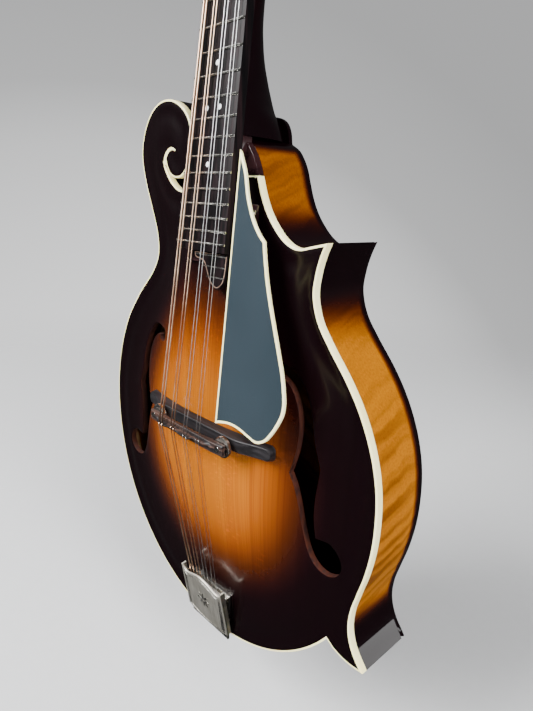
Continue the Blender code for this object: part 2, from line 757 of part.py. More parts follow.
def make_fingerboard():
    """The board with its stepped, scooped end, and the frets."""
    end = fret_along(FRET_COUNT)
    right = board_half_width(end)
    loop = [(-NUT_HALF_WIDTH, 0), (NUT_HALF_WIDTH, 0), (right, end)]
    loop += smooth([(21.8, end - 8.0), (21.7, end - 14.5), (20.3, end - 20.5), (15.8, end - 24.0),
                    (11.1, end - 23.0), (6.9, end - 19.4), (3.6, end - 14.2), (0.6, end - 10.4)])
    loop += [(-6.6, end - 8.8), (-8.8, end - 4.7)]
    loop += smooth([(-14.0, end - 4.2), (-19.4, end - 2.4), (-right, end - 0.4)])
    board = flat_shape("fingerboard", [loop], -BOARD_THICKNESS, 0, NECK)
    scoop = box("scoop", (-9.3, end - 40, -3.0), (60, end - 4.3, 5), NECK)
    boolean(board, scoop)

    wires = []
    for number in range(1, FRET_COUNT + 1):
        along = fret_along(number)
        half = board_half_width(along) - 0.2
        section = [(along - 1.0, -0.4), (along + 1.0, -0.4), (along + 0.5, FRET_HEIGHT),
                   (along - 0.5, FRET_HEIGHT)]
        wires.append(flat_shape(f"fret_{number}", [section], -half, half, NECK @ ACROSS))
    boolean(board, joined("fret_wires", wires), "UNION")
    finish(board, EBONY)

    nut_profile = [(GAP, -BOARD_THICKNESS), (5.0, -BOARD_THICKNESS), (5.0, 0.35), (2.7, 1.0),
                   (GAP, 0.9)]
    finish(flat_shape("nut", [nut_profile], -NUT_HALF_WIDTH, NUT_HALF_WIDTH, NECK @ ACROSS), BONE)


def make_extension_block():
    """The dark block that carries the fingerboard over the end of the body."""
    def under(z):
        return board_front(z) - BOARD_THICKNESS - GAP

    def above_top(z):
        return EDGE_FRONT + TOP_ARCH - RIDGE_FALL * (z - BRIDGE_Z) ** 2 + 2 * GAP

    foot = EDGE_FRONT - PLATE_EDGE
    step_z = TOP_END_Z + GAP
    profile = [(264, under(264)), (264, above_top(264)), (290, above_top(290)),
               (step_z, above_top(TOP_END_Z)), (step_z, foot), (HEEL_Z, foot),
               (HEEL_Z, under(HEEL_Z))]
    block = flat_shape("extension_block", [profile], -20.2, 20.2, SIDE)
    shoulders = [(x, z) for x, z in treble_heel() if z > step_z]
    shoulders += [(30.3, step_z), (-20.9, step_z)]
    shoulders += [(x, z) for x, z in bass_heel() if z > step_z]
    plate = flat_shape("shoulders", [shoulders], foot, EDGE_FRONT)
    boolean(block, plate, "UNION")
    finish(block, DARK_LACQUER)


# The fittings on the top

def make_bridge(table):
    """The two-footed base on the arch, the saddle, and the posts with their thumbwheels."""
    def top_surface(x):
        return EDGE_FRONT + TOP_ARCH * arch_share(table, x, POST_Z) + GAP

    steps = 15
    xs = [59.5 * (2 * step / (steps - 1) - 1) for step in range(steps)]
    under = [(x, top_surface(x)) for x in xs]
    crown = [(59.3, 31.4), (53.0, 32.6), (47.0, 34.6), (41.0, 37.0), (36.0, 37.9)]
    over = crown + [(-x, front) for x, front in reversed(crown)]
    across = Matrix.Rotation(math.pi, 4, "X")
    base = flat_shape("bridge_base", [under + over], -171.5, -162.0, across)
    saddle_loop = [(-36.0, 43.0), (-22.0, 43.0), (-12.0, 44.6), (12.0, 44.6), (22.0, 43.0),
                   (36.0, 43.0), (36.0, 45.8), (29.0, 46.4), (23.0, SADDLE_FRONT),
                   (-23.0, SADDLE_FRONT),
                   (-29.0, 46.4), (-36.0, 45.8)]
    saddle = flat_shape("bridge_saddle", [saddle_loop], -168.2, -161.6, across)
    crown_loop = [(160, 40), (170, 40), (170, SADDLE_FRONT - 0.7), (165.6, SADDLE_FRONT),
                  (164.4, SADDLE_FRONT), (160, SADDLE_FRONT - 1.0)]
    boolean(saddle, flat_shape("saddle_crown", [crown_loop], -40, 40, SIDE), "INTERSECT")
    for side, label in ((-1, "bass"), (1, "treble")):
        post_hole = cylinder(f"{label}_post_hole", POST_RADIUS + GAP,
                             (side * POST_X, POST_Z, 20), 60, BODY, 16)
        boolean(base, post_hole)
        boolean(saddle, post_hole)
        low = top_surface(side * POST_X) + GAP
        post = cylinder(f"{label}_bridge_post", POST_RADIUS, (side * POST_X, POST_Z, low), 46.0,
                        BODY, 12)
        finish(post, NICKEL)
        outside = [(POST_RADIUS + GAP, 42.6), (5.9, 42.6), (WHEEL_RADIUS, 42.2),
                   (WHEEL_RADIUS, 40.5), (5.9, 40.1), (POST_RADIUS + GAP, 40.1),
                   (POST_RADIUS + GAP, 42.6)]
        place = BODY @ Matrix.Translation((side * POST_X * MM, POST_Z * MM, 0))
        finish(turned(f"{label}_thumbwheel", outside, place, 24), NICKEL)
    finish(base, EBONY)
    finish(saddle, SADDLE_WOOD)


def guard_path():
    """The pickguard's outline in the NECK frame, drawn at heights and moved along the neck."""
    right = smooth([(22.6, 324.2), (25.9, 318.5), (29.0, 312.6), (31.0, 306.7), (33.0, 300.9),
                    (35.8, 295.1), (39.3, 289.4), (44.0, 283.8), (48.8, 279.7)])
    right += smooth([(49.2, 278.0), (50.9, 271.8), (54.2, 261.3), (58.6, 250.1), (63.5, 239.0),
                     (68.4, 228.1), (73.0, 217.2), (76.2, 206.0), (76.4, 199.4), (74.5, 193.8),
                     (71.2, 187.6), (66.6, 181.6), (60.6, 178.7), (54.4, 179.6), (46.4, 181.4),
                     (38.6, 181.7), (31.0, 180.2), (26.8, 178.8)])
    nut_z = NUT_PLACE.z / MM
    return [(x, (z - nut_z) / math.cos(NECK_PITCH)) for x, z in right]


def make_pickguard():
    """The floating pickguard, its binding and the bracket that holds it over the top."""
    path = guard_path()
    closed = path + [path[0]]
    low, high = GUARD_SURFACE - GUARD_THICKNESS, GUARD_SURFACE
    edge = inset([path[-1]] + path + path[:2], GUARD_BINDING)[1:-2]
    core = inset([path[-1]] + path + path[:2], GUARD_BINDING + GAP)[1:-2]
    finish(flat_shape("pickguard", [core], low, high, NECK), GUARD_BLACK)
    finish(flat_shape("pickguard_binding", [closed[:-1], edge], low, high, NECK), CREAM)
    rest = BODY @ Matrix.Translation((31 * MM, 292.5 * MM, 0))
    top_front = board_front(292.5) + GUARD_SURFACE - GUARD_THICKNESS - 2 * GAP
    foot = box("pickguard_bracket", (-3.2, -4.5, EDGE_FRONT + 1.6), (3.2, 4.5, top_front - 0.6),
               rest, 0.8)
    finish(foot, DARK_LACQUER)


def make_tailpiece():
    """The base with its string hooks, and the cover that slides off over the tail."""
    base = box("tailpiece_base", (-19.5, 13.0, TAIL_PLATE_LOW), (19.5, 47.0, TAIL_PLATE_HIGH))
    fold = box("tail_fold", (-15.0, 13.0, -12.0), (15.0, 14.3, TAIL_PLATE_HIGH))
    boolean(base, fold, "UNION")
    bar = box("hook_bar", (-17.0, 41.5, TAIL_PLATE_LOW), (17.0, 44.0, 25.6))
    boolean(base, bar, "UNION")
    for number in range(8):
        hook = cylinder(f"hook_{number}", 0.9, (string_tail_x(number), HOOK_Z, 24.0), 28.0,
                        BODY, 8)
        boolean(base, hook, "UNION")
    boolean(base, cylinder("fold_pin_hole", 4.2, (0, 0, 8), 20, Matrix()))
    finish(base, NICKEL)

    half = COVER_HALF_WIDTH
    front = smooth([(-half, 54.5), (-18.5, 51.3), (-14.5, 50.9), (-8.0, 53.2), (0, 54.6),
                    (8.0, 53.2), (14.5, 50.9), (18.5, 51.3), (half, 54.5)])
    tail = smooth([(half, 18.6), (12.0, 15.9), (0, 14.8), (-12.0, 15.9), (-half, 18.6)])
    outside = flat_shape("cover_outside", [front + tail], EDGE_FRONT + 1.4, 36.0)
    lid_frame = BODY @ Matrix.Translation((0, COVER_TAIL_Z * MM, COVER_TAIL_FRONT * MM))
    lid_frame = lid_frame @ Matrix.Rotation(COVER_SLOPE, 4, "X")
    cover = box("tailpiece_cover", (-30, -9, -COVER_DEPTH), (30, 60, 0), lid_frame)
    boolean(cover, outside, "INTERSECT")
    inside = half - COVER_WALL
    boolean(cover, box("cover_hollow", (-inside, -20, -30), (inside, 60, -COVER_SHEET),
                       lid_frame))
    finish(cover, NICKEL)


def make_strap_button():
    """The end pin: a turned knob outside the tail and a shaft in the tail block."""
    profile = [(0, 33.0), (3.5, 33.0), (3.5, 12.9), (6.4, 12.9), (6.8, 11.4),
               (4.2, 8.4), (4.2, 4.8), (7.2, 1.8), (6.4, 0), (0, 0)]
    finish(turned("strap_button", profile, Matrix(), 16), EBONY)


# Strings and tuners

COURSES = (("g", 0.51, BRONZE), ("d", 0.33, BRONZE), ("a", 0.20, STEEL), ("e", 0.14, STEEL))


def spread(number, outer, pair):
    """Where a string crosses: four courses across an outer spread, two strings a pair apart."""
    course, second = divmod(number, 2)
    centre = -(outer - pair) / 2 + course * (outer - pair) / 3
    return centre + (second - 0.5) * pair


def string_tail_x(number):
    """A string's place at the tailpiece's hooks."""
    return -14.0 + 4.0 * number


def tuner_places():
    """How far up the headstock the tuner posts stand."""
    return [FIRST_POST + POST_PITCH * step for step in range(4)]


def string_post(number):
    """The side and place of the post that a string winds on, the outer courses the lowest."""
    if number < 4:
        return -1, tuner_places()[number]
    return 1, tuner_places()[7 - number]


def make_strings():
    """The eight strings from their hooks over the saddle and nut to the posts."""
    for number in range(8):
        label, radius, finish_spec = COURSES[number // 2]
        side, place = string_post(number)
        tail = Vector((string_tail_x(number), 44.2, 28.0 - radius)) * MM
        saddle = Vector((spread(number, 39.6, 2.9), BRIDGE_Z, SADDLE_FRONT + 0.1 + radius)) * MM
        nut = Vector((spread(number, 23.3, 2.3), 2.5, 1.1 + radius)) * MM
        edge = side * (POST_ROW - TUNER_POST_RADIUS - GAP - radius)
        winding = Vector((edge, place - 0.4, 6.5 + 0.6 * (number % 2))) * MM
        route = [BODY @ tail, BODY @ saddle, NECK @ nut, HEAD @ winding]
        points = [tuple(point / MM) for point in route]
        name = f"string_{label}{number % 2 + 1}"
        finish(tube(name, points, radius), finish_spec)


def make_tuner(number):
    """One tuner: the post with its gear, and the worm shaft with its button."""
    label = COURSES[number // 2][0] + str(number % 2 + 1)
    side, place = string_post(number)
    frame = HEAD @ Matrix.Translation((side * POST_ROW * MM, place * MM, 0))
    low, high = GEAR_OUT - 1.2, GEAR_OUT + 1.2
    profile = [(0, 14.0), (TUNER_POST_RADIUS, 14.0), (TUNER_POST_RADIUS, low - 0.4),
               (0, low - 0.4)]
    post = turned(f"tuner_post_{label}", profile, frame, 10)
    teeth = []
    for tooth in range(2 * GEAR_TEETH):
        angle = math.pi * (tooth + 0.5) / GEAR_TEETH
        radius = 5.5 if tooth % 2 else 4.6
        teeth.append((radius * math.cos(angle), radius * math.sin(angle)))
    gear = flat_shape(f"gear_{label}", [teeth], low, high, frame)
    finish(boolean(post, gear, "UNION"), NICKEL)

    outward = Matrix.Rotation(side * math.pi / 2, 4, "Y")
    worm_place = Matrix.Translation((0, (place - WORM_OFFSET) * MM, GEAR_OUT * MM))
    inner = POST_ROW - 7.6
    shaft_profile = [
        (0, 48.0), (4.8, 46.4), (6.6, 41.8), (4.8, 37.2), (1.5, 35.8), (1.5, 20.3),
        (2.0, 20.1), (2.0, 10.9), (1.5, 10.7), (1.5, inner), (0, inner),
    ]
    shaft = turned(f"tuner_shaft_{label}", shaft_profile, HEAD @ worm_place @ outward, 8)
    for vert in shaft.data.vertices:
        if vert.co.z > 35.9 * MM:
            vert.co.x *= 0.6
    finish(shaft, PEARLOID)


def make_tuner_plate(side, name):
    """The plate behind one row of posts, with the ears that hold the worm shafts."""
    places = tuner_places()
    back = HEAD_WOOD[0] - GAP
    x_low, x_high = sorted((side * 8.2, side * 22.6))
    plate = box(name, (x_low, places[0] - 15.5, back - 1.0), (x_high, places[-1] + 9.5, back), HEAD)
    for number, place in enumerate(places):
        centre = place - WORM_OFFSET
        for reach in (9.1, 21.8):
            ear = box(f"{name}_ear_{number}_{reach:.0f}",
                      (side * reach - 0.8, centre - 2.6, GEAR_OUT - 2.6),
                      (side * reach + 0.8, centre + 2.6, back - 0.5), HEAD)
            boolean(plate, ear, "UNION")
    across = Matrix.Rotation(math.pi / 2, 4, "Y")
    for number, place in enumerate(places):
        worm = HEAD @ Matrix.Translation((0, (place - WORM_OFFSET) * MM, GEAR_OUT * MM)) @ across
        boolean(plate, cylinder(f"{name}_bearing_{number}", 1.85, (0, 0, -40), 40, worm, 8))
        hole = cylinder(f"{name}_hole_{number}", POST_HOLE_RADIUS,
                        (side * POST_ROW, place, -18), -12, HEAD, 8)
        boolean(plate, hole)
    finish(plate, NICKEL)


empty_scene()
MANDOLIN = new_collection("mandolin")
CUTTERS = new_collection("cutters")

NUT_Z = BRIDGE_Z + SCALE_LENGTH * math.cos(NECK_PITCH)
NUT_PLACE = Vector((0, -board_front(NUT_Z), NUT_Z)) * MM
NECK = Matrix.Translation(NUT_PLACE) @ Matrix.Rotation(math.pi / 2 - NECK_PITCH, 4, "X")
HEAD = (
    NECK @ Matrix.Translation((0, 5.3 * MM, -3.0 * MM)) @ Matrix.Rotation(-HEAD_PITCH, 4, "X")
)

ARCH_TABLE = film_table(body_path())
make_plates(ARCH_TABLE)
make_rim()
make_blocks()
make_linings()
make_tone_bars(ARCH_TABLE)
make_neck()
make_truss_rod()
make_fingerboard()
make_extension_block()
make_bridge(ARCH_TABLE)
make_pickguard()
make_tailpiece()
make_strap_button()
make_strings()
for string_number in range(8):
    make_tuner(string_number)
make_tuner_plate(-1, "bass_tuner_plate")
make_tuner_plate(1, "treble_tuner_plate")
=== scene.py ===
"""The mandolin's looks: fine surfaces, strings, fittings, finishes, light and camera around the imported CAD.

Lengths are in millimetres in four local frames, as in the CAD: BODY (x, z, front) for plan views, NECK and
HEAD (x, along, out) from the nut up or down the neck and up the headstock, and SIDE (z, front, x). ACROSS
turns NECK and HEAD into (along, out, x). Meshes hold world places in metres, so objects sit at the origin.
"""

import json
import math

import bmesh
import bpy
import numpy as np
from mathutils import Matrix, Vector
from mathutils.geometry import delaunay_2d_cdt

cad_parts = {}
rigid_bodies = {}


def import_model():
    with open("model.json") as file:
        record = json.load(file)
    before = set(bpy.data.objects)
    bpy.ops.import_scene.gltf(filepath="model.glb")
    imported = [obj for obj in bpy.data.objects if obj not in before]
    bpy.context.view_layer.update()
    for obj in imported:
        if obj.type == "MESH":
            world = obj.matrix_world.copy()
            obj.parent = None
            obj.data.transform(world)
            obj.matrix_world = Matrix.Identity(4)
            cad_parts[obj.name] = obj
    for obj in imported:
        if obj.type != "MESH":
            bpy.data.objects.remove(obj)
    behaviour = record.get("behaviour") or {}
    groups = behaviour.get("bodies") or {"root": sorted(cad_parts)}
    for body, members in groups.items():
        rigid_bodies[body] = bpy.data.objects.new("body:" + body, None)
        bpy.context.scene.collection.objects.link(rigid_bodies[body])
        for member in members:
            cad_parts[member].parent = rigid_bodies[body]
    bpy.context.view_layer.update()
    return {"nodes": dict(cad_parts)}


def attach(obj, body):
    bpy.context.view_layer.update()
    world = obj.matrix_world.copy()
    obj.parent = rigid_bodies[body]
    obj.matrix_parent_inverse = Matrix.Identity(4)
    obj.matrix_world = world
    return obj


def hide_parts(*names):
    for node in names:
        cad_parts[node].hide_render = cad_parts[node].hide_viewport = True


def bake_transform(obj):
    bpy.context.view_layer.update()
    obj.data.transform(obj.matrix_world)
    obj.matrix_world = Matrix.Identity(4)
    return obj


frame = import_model()

MM = 0.001

# Strings and neck
SCALE_LENGTH = 352.4
BRIDGE_Z = 165.0
NECK_PITCH = math.radians(6.5)
HEAD_PITCH = math.radians(14)
BOARD_FRONT_AT_BRIDGE = 47.47
BOARD_THICKNESS = 5.5
NUT_HALF_WIDTH = 14.6
BOARD_LENGTH = 264.8
BOARD_TAPER = 8.0
FRET_COUNT = 20
SADDLE_TOP = 49.2
STRING_RADII = (0.51, 0.33, 0.20, 0.14)
COURSES = ("g1", "g2", "d1", "d2", "a1", "a2", "e1", "e2")

# Body
EDGE_FRONT = 20.5
PLATE_EDGE = 4.0
RIM_FRONT = EDGE_FRONT - PLATE_EDGE
TOP_ARCH = 12.15
BACK_ARCH = 10.5
BINDING = 1.2
HEEL_Z = 331.0
TOP_END_Z = 311.3
BOUT_Z = 148.3
BOUT_HALF_WIDTH = 123.3
BOUT_HALF_HEIGHT = 133.6
NOTCH_ANGLE = math.radians(-36.4)
FILM_GRID = 3.0
FILM_POWER = 3.5
RIDGE_FALL = 0.00045
RECURVE_DEPTH = 0.5
RECURVE_WIDTH = 14.0

# Bridge
POST_X = 32.0
POST_Z = 165.2

# Pickguard
GUARD_SURFACE = -2.5
GUARD_THICKNESS = 1.5
GUARD_BINDING = 1.4

# Tailpiece
HOOK_Z = 42.7
COVER_HALF_WIDTH = 21.5
COVER_SLOPE = math.atan2(7.4, 36.9)
COVER_TAIL_Z = 15.6
COVER_TAIL_FRONT = 24.3
COVER_SHEET = 1.3
COVER_DEPTH = 3.6

# Tuners
POST_ROW = 15.5
TUNER_PLACES = (28.0, 51.0, 74.0, 97.0)
POST_RADIUS = 2.9
GEAR_OUT = -18.9
GEAR_TEETH = 14
WORM_OFFSET = 7.9
HEAD_LOW = -15.3

NUT_Z = BRIDGE_Z + SCALE_LENGTH * math.cos(NECK_PITCH)
NUT_FRONT = BOARD_FRONT_AT_BRIDGE - math.tan(NECK_PITCH) * (NUT_Z - BRIDGE_Z)
BODY = Matrix.Rotation(math.pi / 2, 4, "X")
SIDE = Matrix(((0, 0, 1, 0), (0, -1, 0, 0), (1, 0, 0, 0), (0, 0, 0, 1)))
ACROSS = Matrix(((0, 0, 1, 0), (1, 0, 0, 0), (0, 1, 0, 0), (0, 0, 0, 1)))
NECK = (Matrix.Translation((0, -NUT_FRONT * MM, NUT_Z * MM))
        @ Matrix.Rotation(math.pi / 2 - NECK_PITCH, 4, "X"))
HEAD = NECK @ Matrix.Translation((0, 5.3 * MM, -3.0 * MM)) @ Matrix.Rotation(-HEAD_PITCH, 4, "X")


# Finishes

class Finish:
    """A material under construction: a Principled shader and the nodes that feed it."""

    def __init__(self, name, **sockets):
        self.material = bpy.data.materials.new(name)
        self.material.use_nodes = True
        self.tree = self.material.node_tree
        self.shader = self.tree.nodes["Principled BSDF"]
        for socket, value in sockets.items():
            title = socket.replace("_", " ").title().replace("Ior", "IOR")
            self.shader.inputs[title].default_value = value

    def node(self, kind, values=(), **settings):
        """Adds a node with settings; values are (input, constant or output socket) pairs."""
        made = self.tree.nodes.new("ShaderNode" + kind)
        for key, value in settings.items():
            setattr(made, key, value)
        for place, value in values:
            if isinstance(value, bpy.types.NodeSocket):
                self.tree.links.new(value, made.inputs[place])
            else:
                made.inputs[place].default_value = value
        return made

    def math(self, operation, a, b=0.0, c=0.0):
        """A Math node's result."""
        return self.node("Math", ((0, a), (1, b), (2, c)), operation=operation).outputs[0]

    def mix(self, share, a, b, blend="MIX"):
        """One colour mixed with or over another."""
        values = ((0, share), (6, a), (7, b))
        return self.node("Mix", values, data_type="RGBA", blend_type=blend).outputs[2]

    def spans(self, value, low, high, to_low=0.0, to_high=1.0):
        """A value moved smoothly from one range to another and held at its ends."""
        made = self.node("MapRange", ((0, value), (1, low), (2, high), (3, to_low), (4, to_high)),
                         interpolation_type="SMOOTHSTEP")
        return made.outputs[0]

    def ramp(self, value, *stops):
        """A colour for a value, from (place, (r, g, b)) stops."""
        made = self.node("ValToRGB", ((0, value),))
        band = made.color_ramp
        band.interpolation = "B_SPLINE"
        for element, (place, colour) in zip(band.elements, (stops[0], stops[-1])):
            element.position = place
            element.color = (*colour, 1)
        for place, colour in stops[1:-1]:
            band.elements.new(place).color = (*colour, 1)
        return made.outputs[0]

    def noise(self, scales, scale=1.0, detail=3.0, coordinate=None, roughness=0.5):
        """Noise over the object's own places, in metres, stretched by scales."""
        if coordinate is None:
            coordinate = self.node("TexCoord").outputs["Object"]
        stretched = self.node("Mapping", ((0, coordinate), (3, scales))).outputs[0]
        made = self.node("TexNoise", ((0, stretched), (2, scale), (3, detail), (4, roughness)))
        return made.outputs[0]

    def attribute(self, name):
        """A number painted on the mesh's points."""
        return self.node("Attribute", (), attribute_name=name).outputs["Fac"]

    def colour(self, value):
        """Sends a colour to the shader."""
        self.tree.links.new(value, self.shader.inputs["Base Color"])
        return self

    def rough(self, value, low, high):
        """Varies the roughness with a value from 0.3 to 0.7, as noise is."""
        spread = self.spans(value, 0.3, 0.7, low, high)
        self.tree.links.new(spread, self.shader.inputs["Roughness"])
        return self

    def bump(self, height, distance, strength=0.5):
        """Raises the surface by a height map, over a distance in millimetres."""
        values = (("Strength", strength), ("Distance", distance * MM), ("Height", height))
        made = self.node("Bump", values)
        self.tree.links.new(made.outputs[0], self.shader.inputs["Normal"])
        return self


def mirrored_place(finish):
    """The object's place with x counted from the centre joint on both sides, for bookmatched wood."""
    place = finish.node("SeparateXYZ", ((0, finish.node("TexCoord").outputs["Object"]),)).outputs
    across = finish.math("ABSOLUTE", place[0])
    return finish.node("CombineXYZ", ((0, across), (1, place[1]), (2, place[2]))).outputs[0]


BURST_DARK = (0.0030, 0.0007, 0.0014)
BURST_PLUM = (0.0095, 0.0014, 0.0020)
BURST_RED = (0.046, 0.0082, 0.0003)
BURST_BROWN = (0.125, 0.026, 0.0002)
BURST_AMBER = (0.27, 0.066, 0.0)
BURST_GOLD = (0.36, 0.108, 0.0)


def spruce_finish():
    """Sunburst lacquer over bookmatched spruce, with fine straight grain, and silk flecks brightened in
    patches as a painted sheen.
    """
    made = Finish("spruce_sunburst", roughness=0.42, specular_ior_level=0.03, coat_weight=1.0,
                  coat_roughness=0.2, coat_ior=1.42)
    place = mirrored_place(made)
    cloud = made.noise((14, 14, 9), 1.0, 2.0)
    level = made.math("ADD", made.attribute("burst"), made.math("MULTIPLY_ADD", cloud, 0.05, -0.025))
    colour = made.ramp(level, (0.0, BURST_DARK), (0.44, BURST_DARK), (0.57, BURST_PLUM),
                       (0.68, BURST_RED), (0.765, BURST_BROWN), (0.85, BURST_AMBER),
                       (0.94, BURST_GOLD), (1.0, BURST_GOLD))
    lines = made.noise((1150, 40, 3.0), 1.0, 2.0, place)
    bands = made.noise((130, 10, 1.0), 1.0, 2.0, place)
    dark = made.math("MULTIPLY", made.spans(lines, 0.46, 0.66), 0.34)
    colour = made.mix(dark, colour, (0.50, 0.22, 0.09, 1), "MULTIPLY")
    colour = made.mix(made.spans(bands, 0.35, 0.75, 0.0, 0.34), colour, (0.70, 0.46, 0.22, 1), "MULTIPLY")
    silk = made.noise((300, 60, 640), 1.0, 2.0, place)
    patches = made.noise((34, 30, 22), 1.0, 1.0, place)
    # silk flecks of the spruce, brightened in patches: real figure with a painted sheen on it
    silk_and_sheen = made.math("MULTIPLY", made.spans(silk, 0.52, 0.72), made.spans(patches, 0.42, 0.62))
    colour = made.mix(made.math("MULTIPLY", silk_and_sheen, 0.55), colour, (1.7, 1.55, 1.2, 1), "MULTIPLY")
    made.colour(colour)
    made.rough(bands, 0.36, 0.50)
    return made.bump(lines, 0.02, 0.12)


def maple_finish(name, flame_axis, amber=(0.36, 0.125, 0.0), flame_scale=130.0):
    """Flamed maple under amber lacquer that darkens where the mesh's shade says so."""
    made = Finish(name, roughness=0.38, specular_ior_level=0.05, coat_weight=1.0, coat_roughness=0.05,
                  coat_ior=1.42)
    place = mirrored_place(made)
    if flame_axis == "run":
        run = made.attribute("run")
        height = made.node("SeparateXYZ", ((0, place),)).outputs[1]
        place = made.node("CombineXYZ", ((0, height), (1, height), (2, run))).outputs[0]
    sway = made.noise((24, 24, 24), 1.0, 2.0, place)
    split = made.node("SeparateXYZ", ((0, place),)).outputs
    swayed = made.math("ADD", split[2], made.math("MULTIPLY", sway, 0.020))
    swayed = made.math("MULTIPLY_ADD", split[0], 0.35, swayed)
    line = made.node("CombineXYZ", ((0, made.math("MULTIPLY", split[0], 0.12)), (1, 0.0), (2, swayed)))
    flame = made.noise((60, 1, flame_scale), 1.0, 1.5, line.outputs[0])
    fine = made.noise((900, 900, 60) if flame_axis != "run" else (160, 900, 900), 1.0, 3.0, place)
    pores = made.noise((520, 520, 520), 1.0, 2.0, place, 0.7)
    patch = made.noise((12, 12, 9), 1.0, 1.0, place)
    depth = made.math("MULTIPLY", made.spans(flame, 0.40, 0.62), made.spans(patch, 0.35, 0.6, 0.25, 0.75))
    colour = made.mix(depth, (*amber, 1), (0.085, 0.018, 0.0, 1))
    colour = made.mix(made.spans(fine, 0.4, 0.7, 0.0, 0.35), colour, (0.55, 0.35, 0.2, 1), "MULTIPLY")
    colour = made.mix(made.spans(pores, 0.5, 0.75, 0.0, 0.45), colour, (1.5, 1.35, 1.0, 1), "MULTIPLY")
    shade = made.attribute("shade")
    tint = made.ramp(shade, (0.0, (1, 1, 1)), (0.30, (0.75, 0.58, 0.5)), (0.55, (0.30, 0.13, 0.09)),
                     (0.80, (0.06, 0.02, 0.02)), (1.0, (0.0, 0.0, 0.0)))
    colour = made.mix(1.0, colour, tint, "MULTIPLY")
    made.colour(made.mix(shade, colour, (*BURST_DARK, 1)))
    made.rough(flame, 0.32, 0.46)
    return made.bump(pores, 0.015, 0.1)


def dark_lacquer_finish():
    """Near-black plum lacquer over the neck block."""
    made = Finish("dark_lacquer", roughness=0.4, specular_ior_level=0.05, coat_weight=1.0,
                  coat_roughness=0.05, coat_ior=1.42)
    cloud = made.noise((60, 60, 200), 1.0, 3.0)
    made.colour(made.mix(made.spans(cloud, 0.3, 0.7), (0.006, 0.002, 0.003, 1), (0.022, 0.008, 0.009, 1)))
    return made.rough(cloud, 0.35, 0.5)


def ebony_finish(name="ebony", streak=(0.034, 0.022, 0.023), rough=(0.30, 0.46),
                 axis=(500, 500, 14), gloss=0.3, base=0.0080):
    """Ebony or rosewood: dark wood with fine brown streaks and pores."""
    made = Finish(name, roughness=0.4, specular_ior_level=gloss)
    streaks = made.noise(axis, 1.0, 4.0)
    pores = made.noise(tuple(4 * a for a in axis), 1.0, 2.0)
    colour = made.mix(made.spans(streaks, 0.40, 0.68), (base, 0.9 * base, base, 1), (*streak, 1))
    colour = made.mix(made.spans(pores, 0.58, 0.72, 0.0, 0.6), colour, (0.4, 0.4, 0.4, 1), "MULTIPLY")
    made.colour(colour)
    made.rough(streaks, *rough)
    return made.bump(pores, 0.03, 0.2)


def cream_finish():
    """Aged cream celluloid, slightly yellower in patches."""
    made = Finish("cream", roughness=0.3, coat_weight=0.6, coat_roughness=0.06)
    made.shader.inputs["Subsurface Weight"].default_value = 0.08
    made.shader.inputs["Subsurface Scale"].default_value = 0.002
    cloud = made.noise((40, 40, 40), 1.0, 3.0)
    grain = made.noise((300, 300, 30), 1.0, 3.0)
    colour = made.mix(made.spans(cloud, 0.3, 0.7), (0.99, 0.88, 0.42, 1), (1.0, 0.93, 0.52, 1))
    colour = made.mix(made.spans(grain, 0.4, 0.7, 0.0, 0.15), colour, (0.92, 0.77, 0.38, 1))
    made.colour(colour)
    return made.rough(grain, 0.25, 0.38)


def guard_finish():
    """Black celluloid with polishing marks along its length, and a faint blue cast that is a painted
    reflection of the surroundings.
    """
    made = Finish("guard_black", roughness=0.22, specular_ior_level=0.62, coat_weight=0.5,
                  coat_roughness=0.05)
    marks = made.noise((700, 700, 10), 1.0, 3.0)
    cloud = made.noise((18, 18, 12), 1.0, 2.0)
    # the blue cast of these colours is a painted reflection of the surroundings
    colour = made.mix(made.spans(cloud, 0.3, 0.7), (0.017, 0.026, 0.033, 1), (0.022, 0.033, 0.041, 1))
    colour = made.mix(made.spans(marks, 0.4, 0.7, 0.0, 0.3), colour, (0.016, 0.023, 0.030, 1))
    made.colour(colour)
    return made.rough(marks, 0.16, 0.26)


def metal_finish(name, colour, worn, rough, scales=(220, 220, 220)):
    """Metal with fine brushing and faint tarnish."""
    made = Finish(name, metallic=1.0, roughness=0.3)
    brush = made.noise(scales, 1.0, 4.0)
    cloud = made.noise((90, 90, 90), 1.0, 3.0)
    made.colour(made.mix(made.spans(cloud, 0.42, 0.72, 0.0, 0.8), (*colour, 1), (*worn, 1)))
    made.rough(brush, *rough)
    return made.bump(brush, 0.008, 0.15)


def wound_finish():
    """Phosphor bronze wire wound round the thick strings."""
    made = Finish("bronze_wound", metallic=1.0, roughness=0.3)
    turns = made.math("MULTIPLY", made.attribute("run"), 2 * math.pi / 0.00022)
    wave = made.math("SINE", turns)
    cloud = made.noise((60, 60, 60), 1.0, 2.0)
    made.colour(made.mix(made.spans(cloud, 0.3, 0.7), (0.86, 0.56, 0.38, 1), (0.92, 0.68, 0.50, 1)))
    made.rough(cloud, 0.36, 0.46)
    return made.bump(wave, 0.02, 0.25)


def pearloid_finish():
    """Pearly celluloid with folded clouds."""
    made = Finish("pearloid", roughness=0.25, coat_weight=0.8, coat_roughness=0.05)
    swirl = made.noise((160, 160, 160), 1.0, 4.0)
    place = made.node("TexCoord").outputs["Object"]
    folds = made.node("TexWave", ((0, place), (1, 60.0), (2, 9.0), (3, 3.0))).outputs[1]
    level = made.math("MULTIPLY", made.math("ADD", swirl, folds), 0.5)
    made.colour(made.ramp(level, (0.25, (0.62, 0.58, 0.50)), (0.5, (0.84, 0.81, 0.74)),
                          (0.75, (0.93, 0.91, 0.86))))
    return made.rough(swirl, 0.18, 0.32)


def pale_wood_finish():
    """Bare spruce and maple inside the body."""
    made = Finish("inner_wood", roughness=0.65)
    lines = made.noise((500, 500, 12), 1.0, 3.0)
    made.colour(made.mix(made.spans(lines, 0.35, 0.7), (0.34, 0.20, 0.09, 1), (0.22, 0.12, 0.05, 1)))
    return made.rough(lines, 0.55, 0.75)


